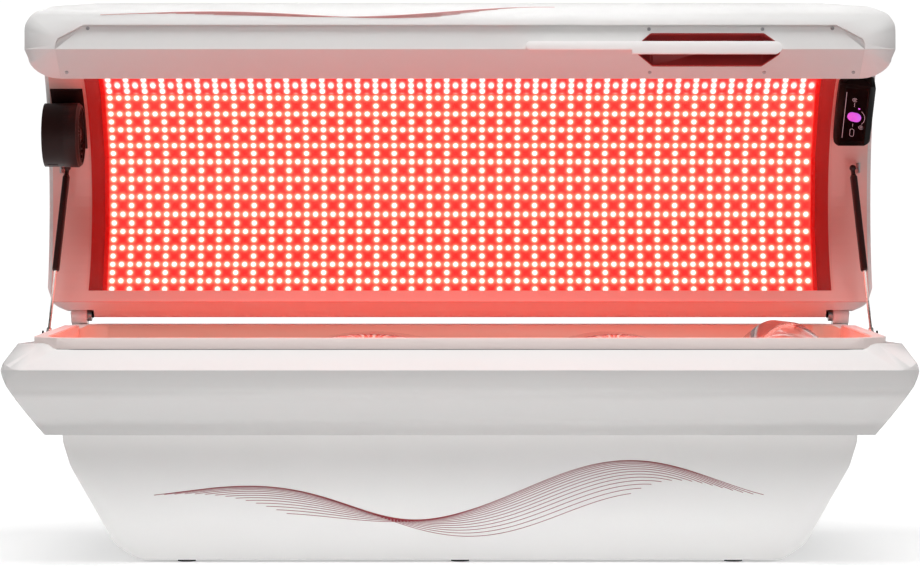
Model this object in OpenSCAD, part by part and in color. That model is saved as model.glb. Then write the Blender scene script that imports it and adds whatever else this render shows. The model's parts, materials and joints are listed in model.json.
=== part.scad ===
/* [Overall] */
// Length of the tub along its widest edge
bed_len = 2300; // [2200:10:2400]
// Depth from the front edge of the tub to the back of the raised canopy
bed_depth = 1018; // [1000:2:1060]

/* [Base] */
// Height from the floor to the underside of the tub shell
base_h = 329; // [300:1:360]
// Gap between the floor and the base cover, filled by the levelling feet
foot_h = 6; // [4:1:20]
// Radius of a levelling foot
foot_r = 24; // [18:1:35]
// Wall of the base cover
base_wall = 5; // [3:0.5:8]
// How far the front of the base stands back from the front edge of the tub
base_set_back = 200; // [180:5:240]
// How far the back of the base stands back from the back of the tub
base_rear_gap = 50; // [46:1:70]
// Inset of each base end from the tub's end, at the top
base_top_inset = 136; // [120:1:160]
// Inset of each base end from the tub's end, at the floor
base_foot_inset = 330; // [300:5:360]
// Side of the square frame tube
tube_s = 40; // [30:1:50]
// Wall of the frame tube
tube_wall = 3; // [2:0.5:5]

/* [Tub] */
// How far the raised canopy reaches out behind the tub
canopy_overhang = 114; // [98:2:128]
// Height of the rounded lower shell
shell_h = 166; // [150:1:180]
// How far the lower shell's front and ends draw in down to the base
shell_run = 104; // [90:1:110]
// Bulge of the lower shell's front and ends
shell_bulge = 12; // [6:1:16]
// Radius of the lower shell's back edge
shell_back_r = 45; // [30:1:46]
// Wall of the lower shell
shell_wall = 6; // [4:0.5:8]
// Height gained by the sloping deck, from the widest edge to the sill
deck_rise = 50; // [40:1:60]
// Run of the sloping front deck
deck_run = 80; // [60:1:100]
// How much higher the back of the rim stands than the front
rim_fall = 27; // [15:1:35]
// Height of the sill trim over the deck
sill_h = 28; // [20:1:36]
// Width of the sill trim
sill_w = 34; // [28:1:40]
// Inset of the tub opening from each end of the tub
tub_end_w = 100; // [90:1:110]
// Corner radius of the tub opening
tub_corner_r = 80; // [60:1:100]
// Thickness of the folded tray sheet
sheet_t = 3; // [2:0.5:4]
// Depth of the tray below the deck
tray_depth = 118; // [100:1:125]
// Thickness of the clear lying surface
bed_sheet_t = 8; // [6:1:10]
// Height of the lying surface ledge over the tray floor
ledge_h = 85; // [80:1:88]
// Height of the knee and lumbar rises of the lying surface
rise_h = 66; // [40:1:70]
// Height of the head rest of the lying surface
pillow_h = 97; // [80:1:100]

/* [Canopy] */
// Outer radius of the canopy shell
shell_r = 526; // [520:1:532]
// Wall of the canopy shell
canopy_wall = 12; // [8:1:14]
// Depth of the canopy between its outer shell and its inner liner
canopy_depth = 121; // [116:1:126]
// How far the light boards stand behind the inner liner
board_depth = 44.5; // [41:0.5:47]
// Turn from each light board to the next
board_step = 24.6; // [24:0.1:25.2]
// Angle of the second board from the bottom, over the horizontal
board_tilt = 4.7; // [2:0.1:7]
// Height of the middle of the curve over the hinge
arc_rise = 304; // [300:1:308]
// Inset of the canopy liner from each end of the canopy
flange_inset = 10; // [6:1:14]
// From the end of the bed to the end of the lit window
window_inset = 126; // [120:1:135]
// Radius of the rounded front edge of the roof
nose_r = 34; // [26:1:40]
// Height of the roof rim over the fascia
roof_rim = 61; // [50:1:70]
// Height of the upper face of the fascia
fascia_top_h = 64; // [54:1:70]
// Height of the lower face of the fascia
fascia_low_h = 74; // [64:1:80]
// How far the lower face of the fascia leans back
fascia_lean = 62; // [50:1:70]

/* [Lights] */
// Pitch of the lights along and across a board
led_pitch = 24.5; // [23.5:0.1:24.5]
// Least dark margin at each end of the row of lights
led_margin = 40; // [38:2:280]
// Lights across a board
led_rows = 8; // [4:2:8]
// Radius of one light
led_r = 7.6; // [5:0.1:9]
// Height of one light over its board
led_h = 5; // [3:0.1:6]
// Thickness of a light board
board_t = 2; // [1.6:0.2:3]

/* [Hinge] */
// Radius of a hinge pin
pin_r = 6; // [5:0.5:7]
// Radius of the eye of a hinge arm
arm_r = 28; // [24:1:30]
// Width of a hinge arm along the pin
arm_w = 43; // [36:1:46]
// Thickness of a knuckle plate
knuckle_t = 12; // [8:1:13]
// Running clearance of the hinge pin
pin_clear = 0.1; // [0.05:0.01:0.1]
// From the end of the bed to a hinge arm's inner face
arm_inset = 120; // [116:1:126]

/* [Gas springs] */
// From the end of the bed to a lower ball
low_ball_inset = 30; // [28:1:34]
// From the end of the bed to an upper ball
top_ball_inset = 65; // [60:1:70]
// Radius of the gas cylinder
cyl_r = 10; // [8:0.5:11]
// Radius of the polished rod
rod_r = 4; // [3:0.5:5]
// Length of the cylinder with its end fitting
cyl_len = 296; // [280:1:298]
// Radius of a ball
ball_r = 7; // [5:0.5:8]
// Radius of a ball's stud
stud_r = 3.5; // [3:0.1:4]

/* [Handle] */
// Height of the wide part of the handle
grip_h = 33; // [26:1:36]
// Length of the hand opening along its top
opening_len = 300; // [260:5:320]
// Height of the hand opening
opening_h = 87; // [76:1:92]
// Depth of the pocket behind the hand opening
pocket_depth = 60; // [50:1:66]

/* [Side fan] */
// Radius of the fan drum
fan_r = 88; // [80:1:90]
// Length of the fan drum
fan_len = 100; // [80:1:104]
// Blades of the impeller
fan_blades = 18; // [12:1:24]
// Curved bars of the grille
grille_bars = 16; // [10:1:20]

/* [Control panel] */
// Width of the control panel
panel_w = 96; // [88:1:100]
// Height of the control panel
panel_h = 228; // [200:1:232]
// Half length of the oval button
button_a = 19; // [14:1:22]
// Half height of the oval button
button_b = 15; // [10:1:18]
// Travel of the button
button_travel = 1.5; // [1:0.1:2]

/* [Hidden] */
$fn = 96;
eps = 0.01;

// Turn of the canopy from raised to closed
close_deg = 66;

// Main lines of the tub, from the floor up
half = bed_len / 2;
tub_depth = bed_depth - canopy_overhang;
window_x = half - window_inset;
arm_x = half - arm_inset;
low_ball_x = half - low_ball_inset;
top_ball_x = half - top_ball_inset;
liner_r = shell_r - canopy_depth;
board_r = liner_r + board_depth;
led_cols = 2 * floor((window_x - led_margin) / led_pitch);
front_y = -bed_depth / 2;
back_y = front_y + tub_depth;
edge_z = base_h + shell_h;
deck_front_y = front_y + deck_run;
deck_back_y = back_y - 23;
deck_z = edge_z + deck_rise;
deck_slope = rim_fall / (deck_back_y - deck_front_y);
opening_front_y = deck_front_y + sill_w;
opening_back_y = back_y - 64;
opening_half = half - tub_end_w;
tray_z = deck_z - tray_depth;
ledge_z = tray_z + sheet_t + ledge_h;

// Hinge line and the middle of the canopy's curve
hinge_y = back_y - 54;
hinge_z = deck_z + rim_fall + sill_h + 24.6;
arc_y = -front_y - shell_r;
arc_z = hinge_z + arc_rise;

// Canopy front, measured down from the roof
roof_z = arc_z + shell_r;
nose_y = arc_y - 21;
fascia_z2 = roof_z - roof_rim;
fascia_z1 = fascia_z2 - fascia_top_h;
fascia_z0 = fascia_z1 - fascia_low_h;
fascia_y2 = nose_y + 16;
fascia_y0 = nose_y + fascia_lean;
lip_z = hinge_z - 7.6;
liner_t = 3;
flange_half = half - flange_inset;
first_deg = board_tilt - 1.5 * board_step;
last_deg = board_tilt + 2.5 * board_step;
board_deg = [for (i = [-1:2]) board_tilt + i * board_step];
cheek_top = fascia_z0 + 44;
window_low_deg = first_deg - 3.7;
liner_low_deg = window_low_deg - 5.4;
board_names = ["light_board_1", "light_board_2", "light_board_3", "light_board_4"];

// Gas spring ends with the canopy raised
low_ball = [low_ball_x, hinge_y - 135, edge_z + 77];
top_ball = [top_ball_x, hinge_y - 10, hinge_z + 405.2];

// Side fan, on the liner's left flange
fan_deg = 36.9;
fan_y = arc_y + (liner_r - 5 - fan_r) * cos(fan_deg);
fan_z = arc_z + (liner_r - 5 - fan_r) * sin(fan_deg);
fan_x = -flange_half + 8;
panel_deg = 42;
panel_x = half - 22;

function deck_top(y) = deck_z + (y - deck_front_y) * deck_slope;
function on_arc(r, deg) = [arc_y + r * cos(deg), arc_z + r * sin(deg)];
function bump(x, c, w) = abs(x - c) < w ? pow(cos(90 * (x - c) / w), 2) : 0;

// A flat outline drawn as depth and height, swept along the length of the bed
module along_x(x0, x1) {
    translate([x0, 0, 0]) rotate([90, 0, 90]) linear_extrude(x1 - x0) children();
}
// A flat outline drawn as length and height, swept from front to back
module along_y(y0, y1) {
    translate([0, y1, 0]) rotate([90, 0, 0]) linear_extrude(y1 - y0) children();
}
// A flat outline drawn as radius and length, swept round the canopy's curve
module arc_sweep(deg0, deg1) {
    translate([0, arc_y, arc_z]) rotate([0, 90, 0]) rotate([0, 0, 90 + deg0])
        rotate_extrude(angle = deg1 - deg0) children();
}
module both_sides() {
    children();
    mirror([1, 0, 0]) children();
}
module rounded_plan(x, y0, y1, r, z0, z1) {
    translate([0, 0, z0]) linear_extrude(z1 - z0) union() {
        translate([-x, y0 + r]) square([2 * x, y1 - y0 - 2 * r]);
        translate([-x + r, y0]) square([2 * (x - r), y1 - y0]);
        for (sx = [-1, 1], p = [y0 + r, y1 - r]) translate([sx * (x - r), p]) circle(r);
    }
}
// The rectangle x0 to x1 by z0 to z1 with rounded lower corners of radius r0 and r1
module bowl_outline(x0, x1, z0, z1, r0, r1) {
    translate([x0, z0 + max(r0, r1)]) square([x1 - x0, z1 - z0 - max(r0, r1)]);
    translate([x0 + r0, z0]) square([x1 - x0 - r0 - r1, z1 - z0]);
    translate([x0 + r0, z0 + r0]) circle(r0);
    translate([x1 - r1, z0 + r1]) circle(r1);
}
// The rectangular tube from x0 to x1, closed round its hollow
module tube_x(x0, x1, y, z) {
    difference() {
        translate([x0, y, z]) cube([x1 - x0, tube_s, tube_s]);
        translate([x0 - 1, y + tube_wall, z + tube_wall])
            cube([x1 - x0 + 2, tube_s - 2 * tube_wall, tube_s - 2 * tube_wall]);
    }
}

// Base

module base_outline(inset) {
    top = half - base_top_inset - inset;
    foot = half - base_foot_inset - inset;
    offset(r = 60, $fn = 40) offset(delta = -60)
        polygon([[-foot, foot_h], [foot, foot_h], [foot + 60, foot_h + 40], [top - 20, base_h - 84],
                 [top, base_h - 20], [top, base_h + 80], [-top, base_h + 80], [-top, base_h - 20],
                 [-top + 20, base_h - 84], [-foot - 60, foot_h + 40]]);
}
base_y0 = front_y + base_set_back;
base_y1 = back_y - base_rear_gap;
base_in = half - base_foot_inset - 40;
vent_x = 420;
vent_z = 190;
vent_r = 60;
inlet_x = -640;

module base_cover() {
    color("whitesmoke") difference() {
        along_y(base_y0, base_y1) intersection() {
            base_outline(0);
            translate([-half, 0]) square([bed_len, base_h]);
        }
        along_y(base_y0 + base_wall, base_y1 - base_wall) intersection() {
            base_outline(base_wall);
            translate([-half, 0]) square([bed_len, base_h + 1]);
        }
        translate([-base_in, base_y0 + base_wall, -1])
            cube([2 * base_in, base_y1 - base_y0 - 2 * base_wall, base_h]);
        translate([vent_x, base_y1 - base_wall - 1, vent_z]) rotate([-90, 0, 0])
            cylinder(r = vent_r, h = base_wall + 2);
        translate([inlet_x - 24, base_y1 - base_wall - 1, vent_z - 16]) cube([48, base_wall + 2, 32]);
    }
}

rail_z = foot_h + 30;
top_rail_z = base_h - tube_s;
frame_y0 = base_y0 + base_wall + 14;
frame_y1 = base_y1 - base_wall - 14 - tube_s;
post_x = [-base_in + 60, -tube_s / 2, base_in - 60 - tube_s];
cross_y = [frame_y0 + tube_s, frame_y1];

module base_frame() {
    color("dimgray") union() {
        for (y = [frame_y0, frame_y1]) {
            tube_x(-base_in + 10, base_in - 10, y, rail_z);
            tube_x(-base_in - 120, base_in + 120, y, top_rail_z);
            for (x = post_x) translate([x, y, rail_z + tube_s - eps])
                cube([tube_s, tube_s, top_rail_z - rail_z - tube_s + 2 * eps]);
        }
        for (x = post_x, z = [rail_z, top_rail_z]) translate([x, cross_y[0] - eps, z])
            cube([tube_s, cross_y[1] - cross_y[0] + 2 * eps, tube_s]);
    }
}

module levelling_feet() {
    color("black") for (x = post_x, y = [frame_y0, frame_y1])
        translate([x + tube_s / 2, y + tube_s / 2, 0]) {
            cylinder(r1 = foot_r, r2 = foot_r - 4, h = 8);
            translate([0, 0, 8 - eps]) cylinder(r = 6, h = rail_z - 8 + eps);
        }
}

module finned_box(x, y, z, w, d, h, fins) {
    translate([x, y, z]) cube([w, d, h - 6]);
    for (i = [0:fins - 1]) translate([x + 4 + i * (w - 12) / (fins - 1), y + 4, z + h - 6 - eps])
        cube([4, d - 8, 6 + eps]);
}
supply_x = [-560, -260, 60];
module power_supplies() {
    color("silver") for (x = supply_x)
        finned_box(x, frame_y1 - 90, rail_z + tube_s, 215, 115, 60, 16);
}
module driver_box() {
    color("gray") difference() {
        translate([-600, frame_y0 + 8, rail_z + tube_s]) cube([260, 150, 90]);
        translate([-596, frame_y0 + 12, rail_z + tube_s + 87]) cube([252, 142, 5]);
    }
}

module mains_inlet() {
    color("black") difference() {
        union() {
            translate([inlet_x - 23.5, base_y1 - base_wall - 22, vent_z - 15.5]) cube([47, base_wall + 22, 31]);
            translate([inlet_x - 32, base_y1, vent_z - 21]) cube([64, 3, 42]);
        }
        translate([inlet_x - 14, base_y1 - 16, vent_z - 10]) cube([28, 20, 20]);
    }
    color("silver") for (x = [-7, 0, 7])
        translate([inlet_x + x, base_y1 - 17, vent_z + (x == 0 ? 4 : -3)]) rotate([-90, 0, 0])
            cylinder(r = 1.6, h = 13);
}

module vent_grille() {
    color("black") translate([vent_x, base_y1, vent_z]) rotate([-90, 0, 0]) union() {
        difference() {
            cylinder(r = vent_r + 10, h = 3);
            translate([0, 0, -1]) cylinder(r = vent_r - 6, h = 5);
        }
        for (r = [14:12:vent_r - 8]) difference() {
            cylinder(r = r + 1.5, h = 3);
            translate([0, 0, -1]) cylinder(r = r - 1.5, h = 5);
        }
        for (a = [0:45:135]) rotate([0, 0, a]) translate([-vent_r, -1.5, 0]) cube([2 * vent_r, 3, 3]);
    }
}
module vent_fan_frame() {
    color("black") translate([vent_x, base_y1 - base_wall, vent_z]) rotate([90, 0, 0]) difference() {
        union() {
            difference() {
                translate([-vent_r, -vent_r, 0]) cube([2 * vent_r, 2 * vent_r, 26]);
                translate([0, 0, -1]) cylinder(r = vent_r - 3, h = 28);
            }
            translate([0, 0, 21]) cylinder(r = 20, h = 5);
            for (a = [45:90:315]) rotate([0, 0, a]) translate([18, -3, 22]) cube([vent_r - 18, 6, 4]);
            translate([0, 0, 6]) cylinder(r = 4, h = 16);
        }
        for (sx = [-1, 1], sy = [-1, 1]) translate([sx * (vent_r - 7), sy * (vent_r - 7), -1])
            cylinder(r = 2.2, h = 28);
    }
}
module vent_fan_impeller() {
    color("dimgray") translate([vent_x, base_y1 - base_wall, vent_z]) rotate([90, 0, 0]) difference() {
        union() {
            translate([0, 0, 3]) cylinder(r = 19, h = 17);
            for (a = [0:360 / 7:359]) rotate([0, 0, a]) translate([36, 0, 11.5]) rotate([38, 0, 0])
                cube([38, 2, 20], center = true);
        }
        translate([0, 0, 5]) cylinder(r = 4.1, h = 20);
    }
}

// Tub

rim_band = 4;
module tub_plan(inset, r, z0, z1) {
    rounded_plan(half - inset + 1, front_y + inset - 1, back_y - inset + 1, r, z0, z1);
}
// The drawn-in side of the lower shell, from the rim down, as how far in and how high
function shell_side(inset) = concat([[inset, edge_z + 1]], [for (k = [0:8])
    let (t = k / 8, out = 4 * shell_bulge * t * (1 - t))
    [inset + shell_run * t - 0.83 * out,
     edge_z - rim_band + (base_h + inset - edge_z + rim_band) * t + 0.56 * out]]);
module shell_bowl(inset) {
    r = shell_back_r - inset;
    side = shell_side(inset);
    intersection() {
        along_x(-half, half) intersection() {
            bowl_outline(front_y + inset, back_y - inset, base_h + inset, edge_z + 1, r, r);
            polygon(concat([for (p = side) [front_y + p[0], p[1]]], [[back_y, base_h], [back_y, edge_z + 1]]));
        }
        along_y(front_y, back_y)
            polygon(concat([for (p = side) [half - p[0], p[1]]],
                           [for (i = [len(side) - 1:-1:0]) [side[i][0] - half, side[i][1]]]));
        tub_plan(inset, 70 - inset, base_h, edge_z + 1);
    }
}
module lower_shell() {
    color("gainsboro") difference() {
        shell_bowl(0);
        shell_bowl(shell_wall);
        translate([-half - 1, front_y - 1, edge_z]) cube([bed_len + 2, tub_depth + 2, 10]);
    }
}

// The deck and all that stands on it are cut by planes that rise to the back
module under_plane(lift) {
    along_x(-half - 1, half + 1)
        polygon([[front_y - 1, 0], [front_y - 1, deck_top(front_y - 1) + lift],
                 [back_y + 1, deck_top(back_y + 1) + lift], [back_y + 1, 0]]);
}
// The deck's slope at each end of the tub
deck_end_run = 62;
deck_end_rise = 110;
function deck_end_z(x) = edge_z + (half - x) * deck_end_rise / deck_end_run;
shoulder_h = 15;
shoulder_x = opening_half - 42;
// The low shoulders that carry the deck up beside the sill
module shoulders() {
    z = deck_z + shoulder_h;
    intersection() {
        along_x(-half, half)
            polygon([[front_y, edge_z], [deck_front_y + 24, z], [deck_front_y + shoulder_h / deck_slope, z],
                     [deck_back_y, deck_z], [back_y, edge_z]]);
        along_y(front_y, back_y) polygon([[shoulder_x, deck_z - 1], [shoulder_x + 14, deck_z + 3],
            [shoulder_x + 28, z - 3], [shoulder_x + 42, z], [half, z], [half, edge_z], [shoulder_x, edge_z]]);
    }
}
module deck_solid() {
    intersection() {
        union() {
            along_x(-half, half)
                polygon([[front_y, edge_z], [deck_front_y, deck_z], [deck_back_y, deck_top(deck_back_y)],
                         [back_y, deck_z - 10], [back_y, edge_z]]);
            both_sides() shoulders();
        }
        along_y(front_y, back_y)
            polygon([[-half, edge_z], [-half + deck_end_run, edge_z + deck_end_rise],
                     [half - deck_end_run, edge_z + deck_end_rise], [half, edge_z]]);
        tub_plan(0, 70, edge_z, edge_z + 120);
    }
}
// Where a point of the raised canopy, as depth and height, comes to lie when it is closed
function shut(p) = [
    hinge_y + (p[0] - hinge_y) * cos(close_deg) - (p[1] - hinge_z) * sin(close_deg),
    hinge_z + (p[0] - hinge_y) * sin(close_deg) + (p[1] - hinge_z) * cos(close_deg)];
// The shallow seat in the sill that the closed canopy's lip drops into
module lip_seat() {
    a = shut(lip_in);
    b = shut([lip_in[0] + 44, lip_z]);
    along_x(-half, half) polygon([[a[0] - 16, a[1] - 3], [a[0], a[1] - 3], [b[0], b[1] - 3], [b[0], b[1] + 99],
                                  [a[0] - 16, b[1] + 99]]);
}
module opening_plan(inset, z0, z1) {
    rounded_plan(opening_half - inset, opening_front_y + inset, opening_back_y - inset,
                 tub_corner_r - inset, z0, z1);
}
module deck() {
    color("white") difference() {
        deck_solid();
        opening_plan(0, edge_z - 1, edge_z + 200);
        translate([0, 0, -8]) intersection() {
            deck_solid();
            translate([-half + 30, front_y + 24, 0]) cube([bed_len - 60, tub_depth - 48, 2 * edge_z]);
            difference() {
                translate([-half, front_y, 0]) cube([bed_len, tub_depth, 2 * edge_z]);
                opening_plan(-8, 0, 2 * edge_z);
            }
        }
    }
}
module sill_trim() {
    color("mistyrose") difference() {
        intersection() {
            opening_plan(-sill_w, edge_z, edge_z + 200);
            under_plane(sill_h);
            along_x(-half, half)
                polygon([[deck_front_y, 0], [deck_front_y, deck_z + 8], [deck_front_y + 8, deck_z + sill_h],
                         [back_y, 2 * deck_z], [back_y, 0]]);
        }
        under_plane(0);
        both_sides() shoulders();
        opening_plan(0, edge_z - 1, edge_z + 200);
        lip_seat();
    }
}
module tub_tray() {
    color("salmon") difference() {
        intersection() {
            opening_plan(0, tray_z, edge_z + 200);
            under_plane(sill_h - 3);
        }
        lip_seat();
        difference() {
            opening_plan(sheet_t, tray_z + sheet_t, edge_z + 200);
            difference() {
                opening_plan(-1, ledge_z - bed_sheet_t - 3, ledge_z - bed_sheet_t);
                opening_plan(16, ledge_z - 20, ledge_z);
            }
        }
    }
}
rib_y0 = front_y + shell_h + 2;
rib_y1 = opening_back_y - 20;
tub_rib_step = (opening_half - 270) / 1.5;
module tub_ribs() {
    color("silver") for (i = [-1.5:1.5]) translate([i * tub_rib_step - 15, 0, 0]) along_x(0, 30) difference() {
        translate([rib_y0, base_h + shell_wall]) square([rib_y1 - rib_y0, tray_z - base_h - shell_wall]);
        translate([rib_y0 + 30, base_h + shell_wall - 1])
            square([rib_y1 - rib_y0 - 60, tray_z - base_h - shell_wall - 14]);
    }
}

// One light board with its lights, lying flat: length along X, rows along Y
module light_board(rows) {
    w = rows * led_pitch - 1;
    l = led_cols * led_pitch;
    translate([-l / 2, -w / 2, 0]) cube([l, w, board_t]);
    for (i = [0:led_cols - 1], j = [0:rows - 1])
        if (i % 2 == 0 || j % 2 == 1)
            translate([(i - (led_cols - 1) / 2) * led_pitch, (j - (rows - 1) / 2) * led_pitch, board_t - eps])
                cylinder(r = led_r, h = led_h + eps, $fn = 24);
}
module tub_board(i) {
    color("crimson")
        translate([0, (opening_front_y + opening_back_y) / 2 + i * (led_rows + 0.5) * led_pitch,
                   tray_z + sheet_t])
            light_board(led_rows);
}
module tub_board_1() { tub_board(-1); }
module tub_board_2() { tub_board(0); }
module tub_board_3() { tub_board(1); }

// The lying surface: a knee rise, a lumbar rise and a head rest at the right
function lying_z(x) = ledge_z
    + rise_h * bump(x, -235, 420) + rise_h * bump(x, 400, 330) + pillow_h * bump(x, 850, 165);
// Everything under the lying surface, whose rises fade out over its front and back edges
module under_surface(drop) {
    l = opening_half;
    fade = 100;
    top = ledge_z + pillow_h + 1;
    intersection() {
        along_y(opening_front_y, opening_back_y)
            polygon(concat([for (i = [0:72]) let (x = -l + 2 * l * i / 72) [x, lying_z(x) - drop]],
                           [[l, tray_z], [-l, tray_z]]));
        along_x(-l, l)
            polygon(concat([for (k = [0:8]) [opening_front_y + fade * k / 8 + 1,
                                             ledge_z - drop + (top - ledge_z) * sin(90 * k / 8)]],
                           [for (k = [8:-1:0]) [opening_back_y - fade * k / 8 - 1,
                                                ledge_z - drop + (top - ledge_z) * sin(90 * k / 8)]],
                           [[opening_back_y, tray_z], [opening_front_y, tray_z]]));
    }
}
module bed_sheet() {
    color("pink", 0.5) intersection() {
        difference() {
            under_surface(0);
            under_surface(bed_sheet_t);
        }
        opening_plan(sheet_t + 1, ledge_z - bed_sheet_t, edge_z + 200);
    }
}

// Hinge, fixed side

module at_hinge() {
    translate([0, hinge_y, hinge_z]) rotate([0, 90, 0]) children();
}
module hinge_arms() {
    color("white") both_sides() difference() {
        union() {
            translate([arm_x, 0, 0]) at_hinge() cylinder(r = arm_r, h = arm_w);
            along_x(arm_x, arm_x + arm_w)
                polygon([[hinge_y - 3, edge_z], [hinge_y - 3, hinge_z], [hinge_y + arm_r, hinge_z],
                         [hinge_y + arm_r, edge_z]]);
        }
        deck_solid();
        intersection() {
            opening_plan(-sill_w, edge_z, edge_z + 200);
            under_plane(sill_h);
        }
        translate([arm_x - 1, 0, 0]) at_hinge() cylinder(r = pin_r, h = arm_w + 2);
    }
}
module hinge_pins() {
    color("dimgray") both_sides() {
        translate([arm_x - knuckle_t - 1, 0, 0]) at_hinge() cylinder(r = pin_r, h = arm_w + knuckle_t + 2);
        translate([arm_x - knuckle_t - 5, 0, 0]) at_hinge() cylinder(r = pin_r + 3, h = 4 + eps);
        translate([arm_x + arm_w, 0, 0]) at_hinge() cylinder(r = pin_r + 3, h = 3);
    }
}
module lower_ball_brackets() {
    r = 11;
    x0 = low_ball[0] + 13;
    x1 = x0 + 4;
    color("silver") both_sides() {
        translate(low_ball) rotate([0, 90, 0]) sphere(ball_r);
        ball_stud(stud_r, x0 + 2 - low_ball[0]);
        along_x(x0, x1) translate([low_ball[1], low_ball[2]]) circle(r);
        along_y(low_ball[1] - r, low_ball[1] + r)
            polygon([[x0, deck_end_z(x0)], [x1, deck_end_z(x1)], [x1, low_ball[2]], [x0, low_ball[2]]]);
    }
}

// Canopy shell, drawn raised as it stands open

module front_outline(inset = 0) {
    r = 110;
    a = 190;
    low = lip_z;
    offset(r = 46, $fn = 40) offset(delta = -46 - inset)
        polygon([[-half, roof_z - 61], [-half, low + r], [-half + r * 0.3, low + r * 0.3], [-half + r, low],
                 [half - r, low], [half - r * 0.3, low + r * 0.3], [half, low + r], [half, roof_z - 61],
                 [half - 20, roof_z - 30], [half - 70, roof_z - 11], [half - a, roof_z - 2],
                 [half - 2 * a, roof_z], [-half + 2 * a, roof_z], [-half + a, roof_z - 2],
                 [-half + 70, roof_z - 11], [-half + 20, roof_z - 30]]);
}
soffit = on_arc(liner_r, last_deg);
lip_in = on_arc(liner_r, liner_low_deg);

// Everything behind the mouth of the canopy
module behind_mouth(low, lift = 0) {
    polygon([[nose_y, roof_z + 1], [-front_y + 1, roof_z + 1], [-front_y + 1, low],
             [lip_in[0] + 44, low], lip_in, [arc_y, arc_z], [soffit[0], soffit[1] + lift],
             [fascia_y0, fascia_z0 + lift], [nose_y, fascia_z1]]);
}
module canopy_outline() {
    nose_z = roof_z - nose_r - 0.4;
    difference() {
        intersection() {
            behind_mouth(lip_z);
            translate([arc_y, arc_z]) circle(shell_r, $fn = 200);
        }
        difference() {
            translate([nose_y - 1, nose_z]) square([nose_r + 1, 2 * nose_r]);
            translate([nose_y + nose_r, nose_z]) circle(nose_r);
        }
    }
}
// The slot in the canopy's back edge that clears a hinge arm and its knuckle
module hinge_slot() {
    r = arm_r + 5;
    along_x(arm_x - knuckle_t - 8, arm_x + arm_w + 8) {
        translate([hinge_y, hinge_z]) circle(r);
        polygon([[hinge_y + r, hinge_z], [hinge_y + r, 0], [0, 0], [0, hinge_z], [hinge_y, hinge_z]]);
    }
}
module shell_cavity() {
    difference() {
        intersection() {
            behind_mouth(lip_z + 10, canopy_wall);
            translate([arc_y, arc_z]) circle(shell_r - canopy_wall, $fn = 200);
            translate([soffit[0] - 110, 0]) square([2 * bed_depth, 2 * roof_z]);
        }
        translate([arc_y, arc_z]) circle(liner_r + liner_t, $fn = 200);
    }
}
// The cheeks that close the ends of the fascia, with an elliptic lower corner
cheek_w = 91;
cheek_r = [86, 52];
module cheeks() {
    c = [half - 7 - cheek_r[0], fascia_z0 + cheek_r[1]];
    both_sides() intersection() {
        along_x(half - cheek_w, half) intersection() {
            canopy_outline();
            polygon([[arc_y, arc_z], on_arc(liner_r, last_deg + 0.02), [soffit[0] - 0.2, roof_z], [nose_y - 1, roof_z],
                     [nose_y - 1, arc_z]]);
        }
        along_y(nose_y - 1, soffit[0] + 1)
            polygon(concat([for (k = [0:9]) [c[0] + cheek_r[0] * sin(10 * k), c[1] - cheek_r[1] * cos(10 * k)]],
                           [[half, c[1] + 20], [half, roof_z], [0, roof_z], [0, fascia_z0]]));
    }
}
// Outside the canopy's drafted sides, which widen towards the back, or that much within them
module outside_sides(inset = 0) {
    both_sides() translate([0, 0, lip_z - 1]) linear_extrude(cheek_top - lip_z + 1)
        polygon([[half - 24 - inset, nose_y - 1], [half - 24 - inset, soffit[0] - 3], [half - inset, -front_y],
                 [half + 1, -front_y], [half + 1, nose_y - 1]]);
}
module canopy_shell() {
    color("whitesmoke") difference() {
        intersection() {
            union() {
                along_x(-half, half) difference() {
                    canopy_outline();
                    translate([arc_y, arc_z]) circle(liner_r + liner_t, $fn = 200);
                }
                cheeks();
            }
            along_y(nose_y - 1, -front_y + 1) front_outline();
        }
        difference() {
            outside_sides();
            translate([-half - 2, soffit[0] - 4 - bed_depth, 0]) cube([bed_len + 4, bed_depth, 2 * roof_z]);
        }
        intersection() {
            along_x(-flange_half + 34, flange_half - 34) shell_cavity();
            along_y(nose_y, -front_y + 1) front_outline(canopy_wall);
        }
        along_y(nose_y - 1, soffit[0] + 30) fascia_outline();
        both_sides() hinge_slot();
    }
}

// Fascia: one bent sheet with chamfered top corners
module fascia_outline() {
    polygon([[-half + 156, fascia_z2], [half - 156, fascia_z2], [half - 87, fascia_z2 - 36],
             [half - 80, fascia_z1 + 12], [half - 91, fascia_z0 - 40], [-half + 91, fascia_z0 - 40],
             [-half + 80, fascia_z1 + 12], [-half + 87, fascia_z2 - 36]]);
}
function sheet_side(t) = [[fascia_y2 + t, fascia_z2], [nose_y + 2 + t, fascia_z1 + t * 0.3],
                          [fascia_y0 + t, fascia_z0 + t], [soffit[0] - 4, soffit[1] + t - 1]];
module fascia_sheet(t0, t1) {
    a = sheet_side(t0);
    b = sheet_side(t1);
    along_x(-half, half) polygon(concat(a, [b[3], b[2], b[1], b[0]]));
}
hand_x0 = 504;
hand_z = (fascia_z2 + fascia_z0) / 2 + 5;
module hand_outline(inset) {
    h = opening_h / 2 - inset;
    l = opening_len / 2;
    c = hand_x0 + l;
    offset(r = 12, $fn = 32) offset(delta = -12)
        polygon([[c - l, hand_z + h], [c + l, hand_z + h], [c + l + 43 - inset, hand_z + 12],
                 [c + l + 43 - inset, hand_z - 12], [c + l - 4, hand_z - h], [c - l + 6, hand_z - h],
                 [c - l - 36 + inset, hand_z - 12], [c - l - 36 + inset, hand_z + 12]]);
}
module fascia() {
    color("lightgray") difference() {
        intersection() {
            fascia_sheet(0, liner_t);
            along_y(nose_y - 5, soffit[0] + 20) fascia_outline();
        }
        along_y(nose_y - 5, fascia_y0 + 10) hand_outline(0);
    }
}
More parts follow.
